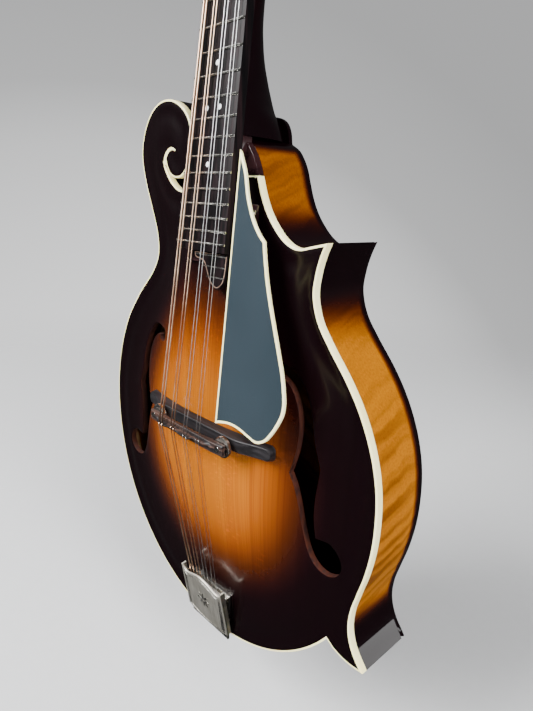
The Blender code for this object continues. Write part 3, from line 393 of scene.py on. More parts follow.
def cut_wood_finish():
    """The stained walls of the f-holes and the underside of the top."""
    made = Finish("cut_wood", roughness=0.45, coat_weight=0.4, coat_roughness=0.15)
    lines = made.noise((700, 500, 20), 1.0, 3.0)
    stained, deep = (0.045, 0.013, 0.008, 1), (0.016, 0.006, 0.005, 1)
    made.colour(made.mix(made.spans(lines, 0.35, 0.7), stained, deep))
    return made.rough(lines, 0.35, 0.6)


def pearl_finish():
    """Mother-of-pearl dots."""
    made = Finish("pearl", roughness=0.2, coat_weight=0.5, coat_roughness=0.05)
    swirl = made.noise((700, 700, 300), 1.0, 3.0)
    made.colour(made.ramp(swirl, (0.3, (0.62, 0.70, 0.74)), (0.5, (0.85, 0.88, 0.90)),
                          (0.7, (0.90, 0.86, 0.84))))
    return made.rough(swirl, 0.15, 0.3)


FINISHES = {
    "spruce": spruce_finish(),
    "side": maple_finish("maple_side", "run"),
    "back": maple_finish("maple_back", "z", amber=(0.27, 0.068, 0.0)),
    "neck": maple_finish("maple_neck", "z", amber=(0.11, 0.018, 0.0), flame_scale=120.0),
    "dark": dark_lacquer_finish(),
    "ebony": ebony_finish(gloss=0.12, base=0.0060),
    "board": ebony_finish("board_ebony", (0.011, 0.006, 0.007), (0.30, 0.42), gloss=0.08, base=0.0030),
    "bridge": ebony_finish("bridge_ebony", (0.018, 0.016, 0.018), (0.38, 0.5), (14, 500, 500)),
    "saddle": ebony_finish("saddle_wood", (0.060, 0.029, 0.020), (0.45, 0.6), (18, 600, 600)),
    "cream": cream_finish(),
    "guard": guard_finish(),
    "nickel": metal_finish("nickel", (0.66, 0.64, 0.60), (0.52, 0.49, 0.44), (0.20, 0.34)),
    "satin": metal_finish("satin_nickel", (0.78, 0.75, 0.67), (0.64, 0.61, 0.53), (0.46, 0.58),
                          (1400, 60, 60)),
    "fret": metal_finish("fret_nickel", (0.86, 0.85, 0.80), (0.74, 0.72, 0.66), (0.16, 0.28)),
    "steel": metal_finish("steel", (0.86, 0.86, 0.87), (0.74, 0.74, 0.74), (0.38, 0.46)),
    "bronze": wound_finish(),
    "copper": metal_finish("copper_line", (0.62, 0.42, 0.32), (0.50, 0.34, 0.26), (0.35, 0.5)),
    "pearloid": pearloid_finish(),
    "pearl": pearl_finish(),
    "bone": cream_finish(),
    "inner": pale_wood_finish(),
    "cut": cut_wood_finish(),
}


# Meshes

CREASE = math.radians(38)
ROUNDED_FROM = math.radians(35)
LEAST_RADIUS = 1e-4


def piece(name, mesh, finishes, body="root", replaces=()):
    """Links a mesh, or several as one, as a piece that rides on a body; finishes are in slot order."""
    if isinstance(mesh, list):
        mesh = merged(name, mesh)
    obj = bpy.data.objects.new(name, mesh)
    bpy.context.scene.collection.objects.link(obj)
    for finish in finishes:
        mesh.materials.append(FINISHES[finish].material)
    mesh.shade_smooth()
    mesh.set_sharp_from_angle(angle=CREASE)
    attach(obj, body)
    if replaces:
        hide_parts(*replaces)
    return obj


def solid(name, places, faces, place_frame, groups=None, run=None):
    """A closed mesh from places in millimetres of a frame; groups give each face its finish."""
    matrix = np.array(place_frame)
    world = np.array(places, float) * MM @ matrix[:3, :3].T + matrix[:3, 3]
    mesh = bpy.data.meshes.new(name)
    mesh.from_pydata(world.tolist(), [], [tuple(int(i) for i in face) for face in faces])
    if groups is not None:
        mesh.polygons.foreach_set("material_index", groups)
    if run is not None:
        mesh.attributes.new("run", "FLOAT", "POINT").data.foreach_set("value", np.array(run) * MM)
    bm = bmesh.new()
    bm.from_mesh(mesh)
    bmesh.ops.remove_doubles(bm, verts=bm.verts, dist=4e-6)
    bmesh.ops.dissolve_degenerate(bm, edges=bm.edges, dist=1e-6)
    bmesh.ops.recalc_face_normals(bm, faces=bm.faces)
    bm.to_mesh(mesh)
    bm.free()
    return mesh


def body_places(mesh):
    """A mesh's points as (x, z, front) in millimetres."""
    flat = np.empty(len(mesh.vertices) * 3)
    mesh.vertices.foreach_get("co", flat)
    world = flat.reshape(-1, 3) / MM
    return world[:, 0], world[:, 2], -world[:, 1]


def paint(mesh, name, values):
    """Stores a number on each of the mesh's points."""
    mesh.attributes.new(name, "FLOAT", "POINT").data.foreach_set("value", values)


def smooth(points, steps=6):
    """Points along a smooth curve (Catmull-Rom) through the given ones."""
    given = [np.array(p, float) for p in points]
    padded = [2 * given[0] - given[1], *given, 2 * given[-1] - given[-2]]
    found = []
    for a, b, c, d in zip(padded, padded[1:], padded[2:], padded[3:]):
        for step in range(steps):
            t = step / steps
            line = 2 * b + (c - a) * t
            line = line + (2 * a - 5 * b + 4 * c - d) * t ** 2
            line = line + (3 * b - a - 3 * c + d) * t ** 3
            found.append(tuple(line / 2))
    found.append(tuple(given[-1]))
    return found


def gaps_to(points, path, closed):
    """Each point's distance to a path."""
    ends = np.roll(path, -1, 0) if closed else path[1:]
    starts = path if closed else path[:-1]
    along = ends - starts
    length = np.maximum((along ** 2).sum(1), 1e-12)
    best = np.full(len(points), np.inf)
    for start, step, square in zip(starts, along, length):
        away = points - start
        share = np.clip(away @ step / square, 0, 1)
        best = np.minimum(best, ((away - share[:, None] * step) ** 2).sum(1))
    return np.sqrt(best)


def inset(path, distance, closed=False):
    """The path moved to its right-hand side. Where it would cross itself, points gather at the corner."""
    points = np.array(path, float)
    if abs(distance) < 1e-9:
        return points
    before = points - np.roll(points, 1, 0)
    after = np.roll(points, -1, 0) - points
    if not closed:
        before[0], after[-1] = after[0], before[-1]
    before /= np.linalg.norm(before, axis=1, keepdims=True)
    after /= np.linalg.norm(after, axis=1, keepdims=True)
    right = np.array([[0, -1], [1, 0]])
    across = (before + after) @ right
    across /= np.linalg.norm(across, axis=1, keepdims=True)
    cosine = np.clip((across * (before @ right)).sum(1), 0.3, 1)
    moved = points + across * (distance / cosine)[:, None]
    lost = np.nonzero(gaps_to(moved, points, closed) < abs(distance) * 0.97)[0]
    corners = np.nonzero(cosine < 0.96)[0]
    if len(corners):
        for index in lost:
            moved[index] = moved[corners[np.argmin(np.abs(corners - index))]]
    return moved


def within(points, loop):
    """Which points lie inside a closed loop."""
    x, y = points[:, 0], points[:, 1]
    found = np.zeros(len(points), bool)
    for (x0, y0), (x1, y1) in zip(loop, np.roll(loop, -1, 0)):
        if y0 != y1:
            found ^= ((y0 > y) != (y1 > y)) & (x < (x1 - x0) * (y - y0) / (y1 - y0) + x0)
    return found


def turned_way(loop, clockwise):
    """The loop, without doubled points, with its inside on its right (clockwise) or left."""
    loop = np.array(loop, float)
    loop = loop[np.linalg.norm(loop - np.roll(loop, 1, 0), axis=1) > 1e-4]
    ahead = np.roll(loop, -1, 0)
    area = (loop[:, 0] * ahead[:, 1] - ahead[:, 0] * loop[:, 1]).sum()
    return loop[::-1] if (area < 0) != clockwise else loop


def filled(loops, cell):
    """Triangles over a plan shape with holes: places, corners, and the indices of each loop."""
    places = np.concatenate(loops)
    edges, first = [], 0
    for loop in loops:
        run = list(range(first, first + len(loop)))
        edges += list(zip(run, run[1:] + run[:1]))
        first += len(loop)
    if cell:
        low, high = loops[0].min(0), loops[0].max(0)
        rows = []
        for row, y in enumerate(np.arange(low[1], high[1], cell * 0.866)):
            xs = np.arange(low[0] + (row % 2) * cell / 2, high[0], cell)
            rows.append(np.column_stack((xs, np.full(len(xs), y))))
        grid = np.concatenate(rows)
        keep = within(grid, loops[0])
        for loop in loops[1:]:
            keep &= ~within(grid, loop)
        grid = grid[keep]
        clear = np.min([gaps_to(grid, loop, True) for loop in loops], axis=0)
        places = np.concatenate((places, grid[clear > cell * 0.55]))
    found = delaunay_2d_cdt([Vector(p) for p in places], edges, [], 0, 1e-7)
    verts = np.array([tuple(v) for v in found[0]])
    triangles = np.array(found[2])
    where = np.zeros(len(places), int)
    for index, sources in enumerate(found[3]):
        where[list(sources)] = index
    centres = verts[triangles].mean(1)
    keep = within(centres, loops[0])
    for loop in loops[1:]:
        keep &= ~within(centres, loop)
    runs, first = [], 0
    for loop in loops:
        runs.append(where[first:first + len(loop)])
        first += len(loop)
    return verts, triangles[keep], runs


def eased(size, middle, way=1):
    """A rounded edge's profile of (distance inward, drop) through one middle point."""
    return ((size, 0.0), (middle, way * middle), (0.0, way * size))


SOFT_EDGE = eased(0.35, 0.10)
SHARP_EDGE = ((0.12, 0.0), (0.0, 0.12))


def plate(name, loops, low, high, place_frame, edge=SOFT_EDGE, cell=0, rise=None):
    """A plate with softened upper edges over a plan shape with holes, bent by rise(x, y).
    Faces are in two groups: 0 the upper surface and its edge, 1 the walls and the underside."""
    loops = [turned_way(loop, index == 0) for index, loop in enumerate(loops)]
    bend = rise or (lambda x, y: np.zeros(len(x)))
    plan, triangles, runs = filled([inset(loop, edge[0][0], True) for loop in loops], cell)
    lower = plan.copy()
    for run, loop in zip(runs, loops):
        lower[run] = loop
    count = len(plan)
    rows = [np.column_stack((plan, high + bend(plan[:, 0], plan[:, 1]))),
            np.column_stack((lower, low + bend(lower[:, 0], lower[:, 1])))]
    faces = [tuple(t) for t in triangles] + [tuple(t + count) for t in triangles]
    groups = [0] * len(triangles) + [1] * len(triangles)
    total = 2 * count
    for run, loop in zip(runs, loops):
        rings = [list(run)]
        for distance, drop in edge[1:]:
            ring = inset(loop, distance, True)
            rows.append(np.column_stack((ring, high - drop + bend(ring[:, 0], ring[:, 1]))))
            rings.append(list(range(total, total + len(ring))))
            total += len(ring)
        rings.append([index + count for index in run])
        for level, (upper, under) in enumerate(zip(rings, rings[1:])):
            for i in range(len(upper)):
                j = (i + 1) % len(upper)
                faces.append((upper[i], under[i], under[j], upper[j]))
                groups.append(0 if level < len(edge) - 1 else 1)
    return solid(name, np.concatenate(rows), faces, place_frame, groups)


def lofted(name, rings, place_frame, capped=True, run=None):
    """A solid through rings of equal point counts."""
    width = len(rings[0])
    faces = []
    for row in range(len(rings) - 1):
        for i in range(width):
            j = (i + 1) % width
            faces.append((row * width + i, row * width + j, (row + 1) * width + j, (row + 1) * width + i))
    if capped:
        faces.append(tuple(range(width)))
        faces.append(tuple(range((len(rings) - 1) * width, len(rings) * width)))
    return solid(name, np.concatenate(rings), faces, place_frame, run=run)


def swept(name, path, profile, place_frame=BODY):
    """A solid along a plan path with a closed profile of (distance inward, height)."""
    rows = [inset(path, distance) for distance, _ in profile]
    points = np.array(path, float)
    steps = np.linalg.norm(np.diff(points, axis=0), axis=1)
    travelled = np.concatenate(([0], np.cumsum(steps)))
    rings = []
    for index in range(len(points)):
        rings.append([(*row[index], height) for row, (_, height) in zip(rows, profile)])
    return lofted(name, rings, place_frame, run=np.repeat(travelled, len(profile)))


def strip(name, loop, width, low, high, place_frame):
    """A line of one width laid just inside a closed loop."""
    loop = turned_way(loop, True)
    inner = inset(loop, width, True)
    count = len(loop)
    places = []
    for ring, height in ((loop, high), (inner, high), (inner, low), (loop, low)):
        places += [(*point, height) for point in ring]
    faces = []
    for level in range(4):
        for i in range(count):
            j = (i + 1) % count
            over, under = level * count, (level + 1) % 4 * count
            faces.append((over + i, over + j, under + j, under + i))
    return solid(name, places, faces, place_frame)


def hoops(profile, sides):
    """Rings of places about the third axis from (radius, height) pairs; none shrinks to a point."""
    rings = []
    for radius, height in profile:
        angles = np.arange(sides) * 2 * math.pi / sides
        reach = max(radius, LEAST_RADIUS)
        rings.append([(reach * math.cos(a), reach * math.sin(a), height) for a in angles])
    return rings


def turned(name, profile, place_frame, sides=40):
    """A turned solid from a (radius, height) profile about the frame's third axis."""
    return lofted(name, hoops(profile, sides), place_frame)


def tube(name, points, radius, sides=12):
    """A round wire through world places in millimetres."""
    route = np.array(points, float)
    ahead = np.gradient(route, axis=0)
    ahead /= np.linalg.norm(ahead, axis=1, keepdims=True)
    side = np.cross(ahead[0], (0.3, 0.7, 0.2))
    rings, travelled = [], [0.0]
    for index, (place, forward) in enumerate(zip(route, ahead)):
        side = side - forward * (side @ forward)
        side /= np.linalg.norm(side)
        other = np.cross(forward, side)
        angles = np.arange(sides) * 2 * math.pi / sides
        rings.append([place + radius * (math.cos(a) * side + math.sin(a) * other) for a in angles])
        if index:
            travelled.append(travelled[-1] + float(np.linalg.norm(place - route[index - 1])))
    return lofted(name, rings, Matrix(), run=np.repeat(travelled, sides))


def circle(x, y, radius, count=24):
    """A round loop."""
    angles = np.arange(count) * 2 * math.pi / count
    return np.column_stack((x + radius * np.cos(angles), y + radius * np.sin(angles)))


def softened(node, finish, width=0.5, body="root", segments=2):
    """A copy of a CAD node with rounded edges, which stands for it."""
    bm = bmesh.new()
    bm.from_mesh(frame["nodes"][node].data)
    bmesh.ops.remove_doubles(bm, verts=bm.verts, dist=1e-6)
    bmesh.ops.dissolve_limit(bm, angle_limit=math.radians(2), verts=bm.verts, edges=bm.edges)
    mesh = bpy.data.meshes.new(node + "_fine")
    bm.to_mesh(mesh)
    bm.free()
    obj = piece(node + "_fine", mesh, (finish,), body, (node,))
    rounding = obj.modifiers.new("Rounding", "BEVEL")
    rounding.width = width * MM
    rounding.segments = segments
    rounding.limit_method = "ANGLE"
    rounding.angle_limit = ROUNDED_FROM
    rounding.use_clamp_overlap = True
    return obj


# Plan shapes

def treble_heel():
    """The side from the neck's heel down to the end of the top."""
    return smooth([(15, HEEL_Z), (21.4, 327.2), (26.0, 321.4), (28.8, 316.0), (30.4, TOP_END_Z)])


def treble_side():
    """The cutaway, the upper point, the treble bout and the lower point."""
    cutaway = smooth([
        (30.4, TOP_END_Z), (33.6, 302.6), (37.0, 295.8), (41.6, 289.4), (48.6, 282.4),
        (55.5, 278.3), (62.1, 277.1), (70.0, 278.8), (79.9, 281.1),
    ])
    bout = smooth([
        (79.9, 281.1), (77.1, 274.5), (74.8, 266.0), (73.9, 255.0), (78.0, 242.9),
        (86.5, 231.5), (97.8, 218.4), (106.5, 206.3), (113.3, 193.7), (118.5, 180.1),
        (121.7, 165.8), (122.8, 150.6), (122.3, 136.0), (120.0, 121.0), (116.4, 107.0),
        (113.7, 95.5), (113.4, 84.5), (116.8, 74.0), (124.0, 64.3),
    ])
    point = smooth([(124.0, 64.3), (117.0, 63.7), (110.0, 64.2), (103.6, 66.1)])
    return cutaway[:-1] + bout[:-1] + point[:-1]


def lower_bout(steps=110):
    """The ellipse from the lower point's notch round the tail to the bass side."""
    corner = (BOUT_HALF_WIDTH * math.cos(NOTCH_ANGLE), BOUT_Z + BOUT_HALF_HEIGHT * math.sin(NOTCH_ANGLE))
    found = [(103.6, 66.1), corner]
    for step in range(1, steps):
        angle = NOTCH_ANGLE - (math.pi + NOTCH_ANGLE) * step / steps
        found.append((BOUT_HALF_WIDTH * math.cos(angle), BOUT_Z + BOUT_HALF_HEIGHT * math.sin(angle)))
    return found


def bass_side():
    """The bass bout, the scroll's outside and hook, and the slot up to the neck."""
    outside = smooth([
        (-123.3, 148.3), (-122.4, 162.0), (-119.6, 178.0), (-114.0, 195.5), (-104.1, 214.7),
        (-89.2, 233.1), (-73.2, 248.9), (-66.0, 259.0), (-64.3, 267.5), (-66.2, 278.0),
        (-71.5, 291.0), (-77.6, 305.0), (-81.6, 318.0), (-82.0, 328.5), (-78.0, 340.0),
        (-70.5, 349.3), (-60.0, 354.5), (-48.0, 354.6), (-37.5, 350.0), (-30.3, 342.5),
        (-28.3, 333.0), (-30.2, 322.5), (-33.2, 315.2), (-38.2, 310.9), (-45.0, 310.2),
        (-50.6, 312.6), (-54.0, 317.2),
    ])
    slot = smooth([
        (-55.2, 316.6), (-52.2, 312.3), (-47.2, 307.2), (-41.2, 303.9), (-34.4, 302.9),
        (-27.4, 303.5), (-22.6, 306.4), (-21.0, TOP_END_Z),
    ])
    return outside + [(-54.9, 320.0), (-56.2, 319.4)] + slot


def bass_heel():
    """The side from the end of the top up to the neck's heel, beside the slot."""
    return smooth([(-21.0, TOP_END_Z), (-20.6, 319.0), (-19.0, 326.0), (-15, HEEL_Z)])


BOUND_PATH = treble_side() + lower_bout() + bass_side()
BODY_PATH = treble_heel()[:-1] + BOUND_PATH[:-1] + bass_heel()
BUTTON = smooth([(-15, HEEL_Z), (-13.4, 338.5), (-9.0, 344.0), (0, 346.2), (9.0, 344.0),
                 (13.4, 338.5), (15, HEEL_Z)])


def sound_hole(side):
    """The treble f-hole's outline, or with side = -1 the bass one's."""
    outer = smooth([(56.5, 217.4), (63.5, 216.4), (70.0, 211.0), (75.3, 203.5), (79.6, 192.0),
                    (82.2, 180.5), (87.0, 167.4)])
    outer += smooth([(86.1, 161.0), (84.9, 150.0), (84.9, 138.0), (86.6, 126.3)])
    lobe = smooth([(90.5, 127.0), (96.6, 127.2), (102.4, 123.0), (104.6, 117.3), (102.3, 111.2),
                   (96.5, 107.9), (89.8, 108.6), (84.6, 112.6), (80.9, 118.9)])
    inner = smooth([(77.6, 129.1), (74.5, 140.9), (71.2, 150.6), (67.2, 158.2)])
    upper = smooth([(70.0, 165.5), (71.9, 176.0), (71.9, 187.5), (69.5, 197.5), (64.6, 206.0),
                    (58.8, 210.4)])
    button = []
    for step in range(4, 26):
        angle = math.radians(20 - 10 * step)
        button.append((51.5 + 4.9 * math.cos(angle), 211.8 + 4.9 * math.sin(angle)))
    return [(side * x, z) for x, z in outer + lobe + inner + upper + button]


# The arching: a soap film over the outline, and powers of it for the carved section

def film_heights():
    """A film's height on a grid over the body, held down at its outline."""
    xs = np.arange(-132, 133, FILM_GRID)
    zs = np.arange(6, 361, FILM_GRID)
    grid = np.array(np.meshgrid(xs, zs, indexing="ij"))
    inside = within(grid.reshape(2, -1).T, np.array(BODY_PATH + [(-15, 352), (15, 352)]))
    inside = inside.reshape(grid.shape[1:])
    film = np.zeros(inside.shape)
    for _ in range(3000):
        film[1:-1, 1:-1] = (
            film[2:, 1:-1] + film[:-2, 1:-1] + film[1:-1, 2:] + film[1:-1, :-2]
        ) / 4 + 1
        film *= inside
    return xs, zs, film


FILM = film_heights()


def film_at(x, z):
    """The film's height at places, from a smooth curve through its grid."""
    xs, zs, film = FILM
    along, up = (np.asarray(x) - xs[0]) / FILM_GRID, (np.asarray(z) - zs[0]) / FILM_GRID
    i = np.clip(along.astype(int), 1, len(xs) - 3)
    j = np.clip(up.astype(int), 1, len(zs) - 3)
    total = 0.0
    for a, first in enumerate(spline_shares(along - i)):
        for b, second in enumerate(spline_shares(up - j)):
            total = total + first * second * film[i + a - 1, j + b - 1]
    return np.maximum(total, 0)


def spline_shares(t):
    """The weights of four neighbours in a smooth (B-spline) blend."""
    t = np.clip(t, 0, 1)
    return ((1 - t) ** 3 / 6, (3 * t ** 3 - 6 * t ** 2 + 4) / 6,
            (-3 * t ** 3 + 3 * t ** 2 + 3 * t + 1) / 6, t ** 3 / 6)


CROWN = float(film_at(np.array([0.0]), np.array([BRIDGE_Z]))[0])


def arch_share(x, z):
    """The arch's height at places, as a share of the crown's height at the bridge."""
    x, z = np.asarray(x, float), np.asarray(z, float)
    here = film_at(x, z)
    below = np.minimum(here / CROWN, 1) ** FILM_POWER
    ridge = np.maximum(1 - RIDGE_FALL / TOP_ARCH * (z - BRIDGE_Z) ** 2, 0)
    ratio = np.maximum(here / np.maximum(film_at(np.zeros(len(z)), z), 1e-6), 1e-3)
    ratio = (2 / (1 + ratio ** -6)) ** (1 / 6)
    return np.where(z <= BRIDGE_Z, below, ridge * ratio ** FILM_POWER)


def top_rise(x, z):
    """How far the top's surface stands in front of the edge plane, with its recurve."""
    plan = np.column_stack((x, z))
    edge = gaps_to(plan, np.array(BOUND_PATH), False)
    dip = np.sin(math.pi * np.clip((edge - BINDING) / RECURVE_WIDTH, 0, 1)) ** 2
    return TOP_ARCH * arch_share(x, z) - RECURVE_DEPTH * dip


def top_front(x, z):
    """The top's surface at one place."""
    return EDGE_FRONT + float(top_rise(np.array([x]), np.array([z]))[0])


def back_rise(x, z):
    """How far the back's surface stands behind the edge plane, counted forwards."""
    return -BACK_ARCH * arch_share(x, z)


def film_share(mesh):
    """The film over each point of a mesh, as a share of its height at the crown."""
    x, z, _ = body_places(mesh)
    return np.clip(film_at(x, z) / CROWN, 0, 1)


def board_front(z):
    """How far forward the fingerboard's surface is at a height."""
    return BOARD_FRONT_AT_BRIDGE - math.tan(NECK_PITCH) * (z - BRIDGE_Z)


def board_half_width(along):
    """Half the fingerboard's width at a place along the NECK frame."""
    return NUT_HALF_WIDTH - along / BOARD_LENGTH * BOARD_TAPER


def fret_along(number):
    """A fret's place along the NECK frame."""
    return -SCALE_LENGTH * (1 - 2 ** (-number / 12))


def fade(value, low, high):
    """A smooth step from 0 at low to 1 at high."""
    t = np.clip((value - low) / (high - low), 0, 1)
    return t * t * (3 - 2 * t)


# Shaping helpers

def merged(name, meshes):
    """Several meshes as one, with each one's first finish group kept."""
    bm = bmesh.new()
    for mesh in meshes:
        bm.from_mesh(mesh)
        bpy.data.meshes.remove(mesh)
    mesh = bpy.data.meshes.new(name)
    bm.to_mesh(mesh)
    bm.free()
    return mesh


def cut(mesh, *tools):
    """The mesh with other meshes cut out of it."""
    name = mesh.name
    scene = bpy.context.scene.collection.objects
    host = bpy.data.objects.new("cut_host", mesh)
    cutter = bpy.data.objects.new("cut_tool", merged("cut_tool", tools))
    scene.link(host)
    scene.link(cutter)
    modifier = host.modifiers.new("Cut", "BOOLEAN")
    modifier.operation = "DIFFERENCE"
    modifier.solver = "EXACT"
    modifier.object = cutter
    bpy.context.view_layer.update()
    found = bpy.data.meshes.new_from_object(host.evaluated_get(bpy.context.evaluated_depsgraph_get()))
    bpy.data.objects.remove(host)
    bpy.data.objects.remove(cutter)
    bpy.data.meshes.remove(mesh)
    found.name = name
    return found


def slab(low, high, place_frame):
    """A plain block between two corners, used to cut with or as a small fitting's core."""
    (x0, y0, z0), (x1, y1, z1) = low, high
    base, top = ([(x0, y0, z), (x1, y0, z), (x1, y1, z), (x0, y1, z)] for z in (z0, z1))
    return lofted("slab", [base, top], place_frame)


def rod(x, y, radius, low, high, place_frame, sides=28):
    """A plain round bar along the frame's third axis, used to cut with."""
    return turned("rod", ((radius, low), (radius, high)), place_frame @ moved(x, y), sides)


def moved(x=0.0, y=0.0, z=0.0):
    """A shift in millimetres."""
    return Matrix.Translation((x * MM, y * MM, z * MM))


def washer(name, inner, profile, place_frame, sides=40):
    """A turned ring: the (radius, height) profile and a bore of one radius."""
    closed = [(inner, profile[0][1]), *profile, (inner, profile[-1][1]), (inner, profile[0][1])]
    return lofted(name, hoops(closed, sides), place_frame, capped=False)


def screw(place_frame, radius=2.2, height=0.8):
    """A domed screw head with a cross slot."""
    dome = ((radius, 0), (radius * 0.96, height * 0.35), (radius * 0.8, height * 0.72),
            (radius * 0.45, height * 0.95), (0, height))
    head = turned("screw", dome, place_frame, 24)
    long, thin, deep = radius * 0.62, radius * 0.12, height * 0.4
    for a, b in ((long, thin), (thin, long)):
        head = cut(head, slab((-a, -b, deep), (a, b, height + 1), place_frame))
    return head


def refinish(finish, *nodes):
    """Gives CAD nodes that keep their shape a finish."""
    for node in nodes:
        slots = frame["nodes"][node].data.materials
        for index in range(len(slots)):
            slots[index] = FINISHES[finish].material


# The body

def side_shade(x, z, front):
    """How dark the sides' lacquer is: amber in the bouts, near black at the points, heel and scroll."""
    treble = np.where(z > 262, 0.96, 0.96 * fade(z, 226, 262))
    cutaway = 0.26 + 0.66 * fade(-z, -301, -279) + 0.70 * fade(z, 323, 329)
    treble = np.where((z > 277) & (x < 62) & (x > 0), cutaway, treble)
    treble = np.maximum(treble, 0.96 * fade(-z, -98, -80) * fade(x, 94, 108))
    bass = 0.96 * fade(z, 215, 262)
    shade = np.where(x > 0, treble, bass)
    tail = 0.55 * fade(-np.abs(x), -52, -10) * fade(-z, -60, -20)
    edge = 0.85 * fade(-front, 12.6, 15.2)
    return np.clip(np.maximum.reduce([shade, tail, edge]), 0, 1)


def make_top():
    """The carved top with its f-holes, and the binding round it."""
    edge = eased(0.22, 0.06)
    loops = [inset(BOUND_PATH, BINDING), sound_hole(1), sound_hole(-1)]
    mesh = plate("soundboard_fine", loops, RIM_FRONT, EDGE_FRONT, BODY, edge, 2.4, top_rise)
    paint(mesh, "burst", film_share(mesh))
    piece("soundboard_fine", mesh, ("spruce", "cut"), replaces=("soundboard",))

    profile = ((0, RIM_FRONT), (0, 20.0), (0.15, 20.35), (0.5, EDGE_FRONT), (BINDING, EDGE_FRONT),
               (BINDING, RIM_FRONT))
    mesh = swept("binding_fine", BOUND_PATH, profile)
    piece("binding_fine", mesh, ("cream",), replaces=("top_binding",))
    end_line = [(-19.4, 310.2), (28.9, 310.2), (28.9, 311.3), (-19.4, 311.3)]
    mesh = plate("end_binding", [end_line], RIM_FRONT, EDGE_FRONT + 0.1, BODY, edge)
    piece("end_binding", mesh, ("cream", "cream"))


def make_sides():
    """The bent sides and the carved back with its heel button."""
    heights = (RIM_FRONT, 13.5, 11.5, 7, 0, -7, -12, -14, -RIM_FRONT)
    profile = [(0, height) for height in heights] + [(2.3, -RIM_FRONT), (2.3, RIM_FRONT)]
    mesh = swept("rim_fine", BODY_PATH, profile)
    x, z, front = body_places(mesh)
    paint(mesh, "shade", side_shade(x, z, front))
    mesh = cut(mesh, turned("pin_hole", ((3.8, -8), (3.8, 8)), Matrix(), 24))
    piece("rim_fine", mesh, ("side",), replaces=("rim",))

    loop = BODY_PATH + BUTTON[1:-1]
    edge = ((1.5, 0.0), (0.8, -0.25), (0.3, -0.8), (0.0, -1.6))
    mesh = plate("back_fine", [loop], -RIM_FRONT, -EDGE_FRONT, BODY, edge, 4.0, back_rise)
    share = film_share(mesh)
    x, z, _ = body_places(mesh)
    shade = 1 - fade(share, 0.30, 0.86) * 0.98
    paint(mesh, "shade", np.maximum(shade, 0.9 * fade(z, 265, 300)))
    piece("back_fine", mesh, ("back",), replaces=("back_plate",))


def make_scroll_inlay():
    """The cream line that curls over the scroll from the end of its slot."""
    outer = smooth([(-56.3, 318.6), (-56.6, 321.6), (-55.0, 325.2), (-51.8, 327.7), (-48.2, 328.1),
                    (-44.6, 326.6)])
    inner = smooth([(-44.8, 325.5), (-48.0, 326.3), (-51.0, 325.6), (-53.2, 323.3), (-54.3, 320.2),
                    (-54.0, 317.6)])
    mesh = plate("scroll_inlay", [outer + inner], 0.0, 0.35, BODY @ moved(0, 0, EDGE_FRONT - 0.25),
                 SHARP_EDGE, 0, top_rise)
    piece("scroll_inlay", mesh, ("cream",))


# The neck and headstock

HEEL_SECTIONS = (
    # height, depth behind the fingerboard, squareness, half width at the back
    (331.3, 38.7, 6.0, 15.5), (337.0, 38.0, 5.0, 14.0), (342.0, 37.4, 4.0, 11.8),
    (346.5, 36.2, 3.0, 10.5), (351.0, 33.8, 2.5, 12.0), (356.0, 30.6, 2.2, 14.5),
    (362.0, 26.2, 2.1, 17.0), (369.0, 22.0, 2.0, 18.6), (377.0, 18.8, 2.0, 18.8),
    (388.0, 16.4, 2.0, 18.4), (410.0, 15.6, 2.0, 17.7), (450.0, 14.9, 2.0, 16.4),
    (490.0, 14.3, 2.0, 15.3), (508.0, 14.4, 2.0, 14.8), (517.0, 13.0, 2.0, 14.6),
)
RING_POINTS = 41
ROD_POCKET = ((-5.5, -9, -11.3), (5.5, 20, 3))


def half_round(width, depth, squareness, top):
    """(x, out) places of a section with a flat front and a rounded back."""
    angles = np.pi * np.arange(RING_POINTS) / (RING_POINTS - 1)
    cosine, sine = np.cos(angles), np.sin(angles)
    x = width(sine) * np.copysign(np.abs(cosine) ** (2 / squareness), cosine)
    return x, top - depth * sine ** (2 / squareness)


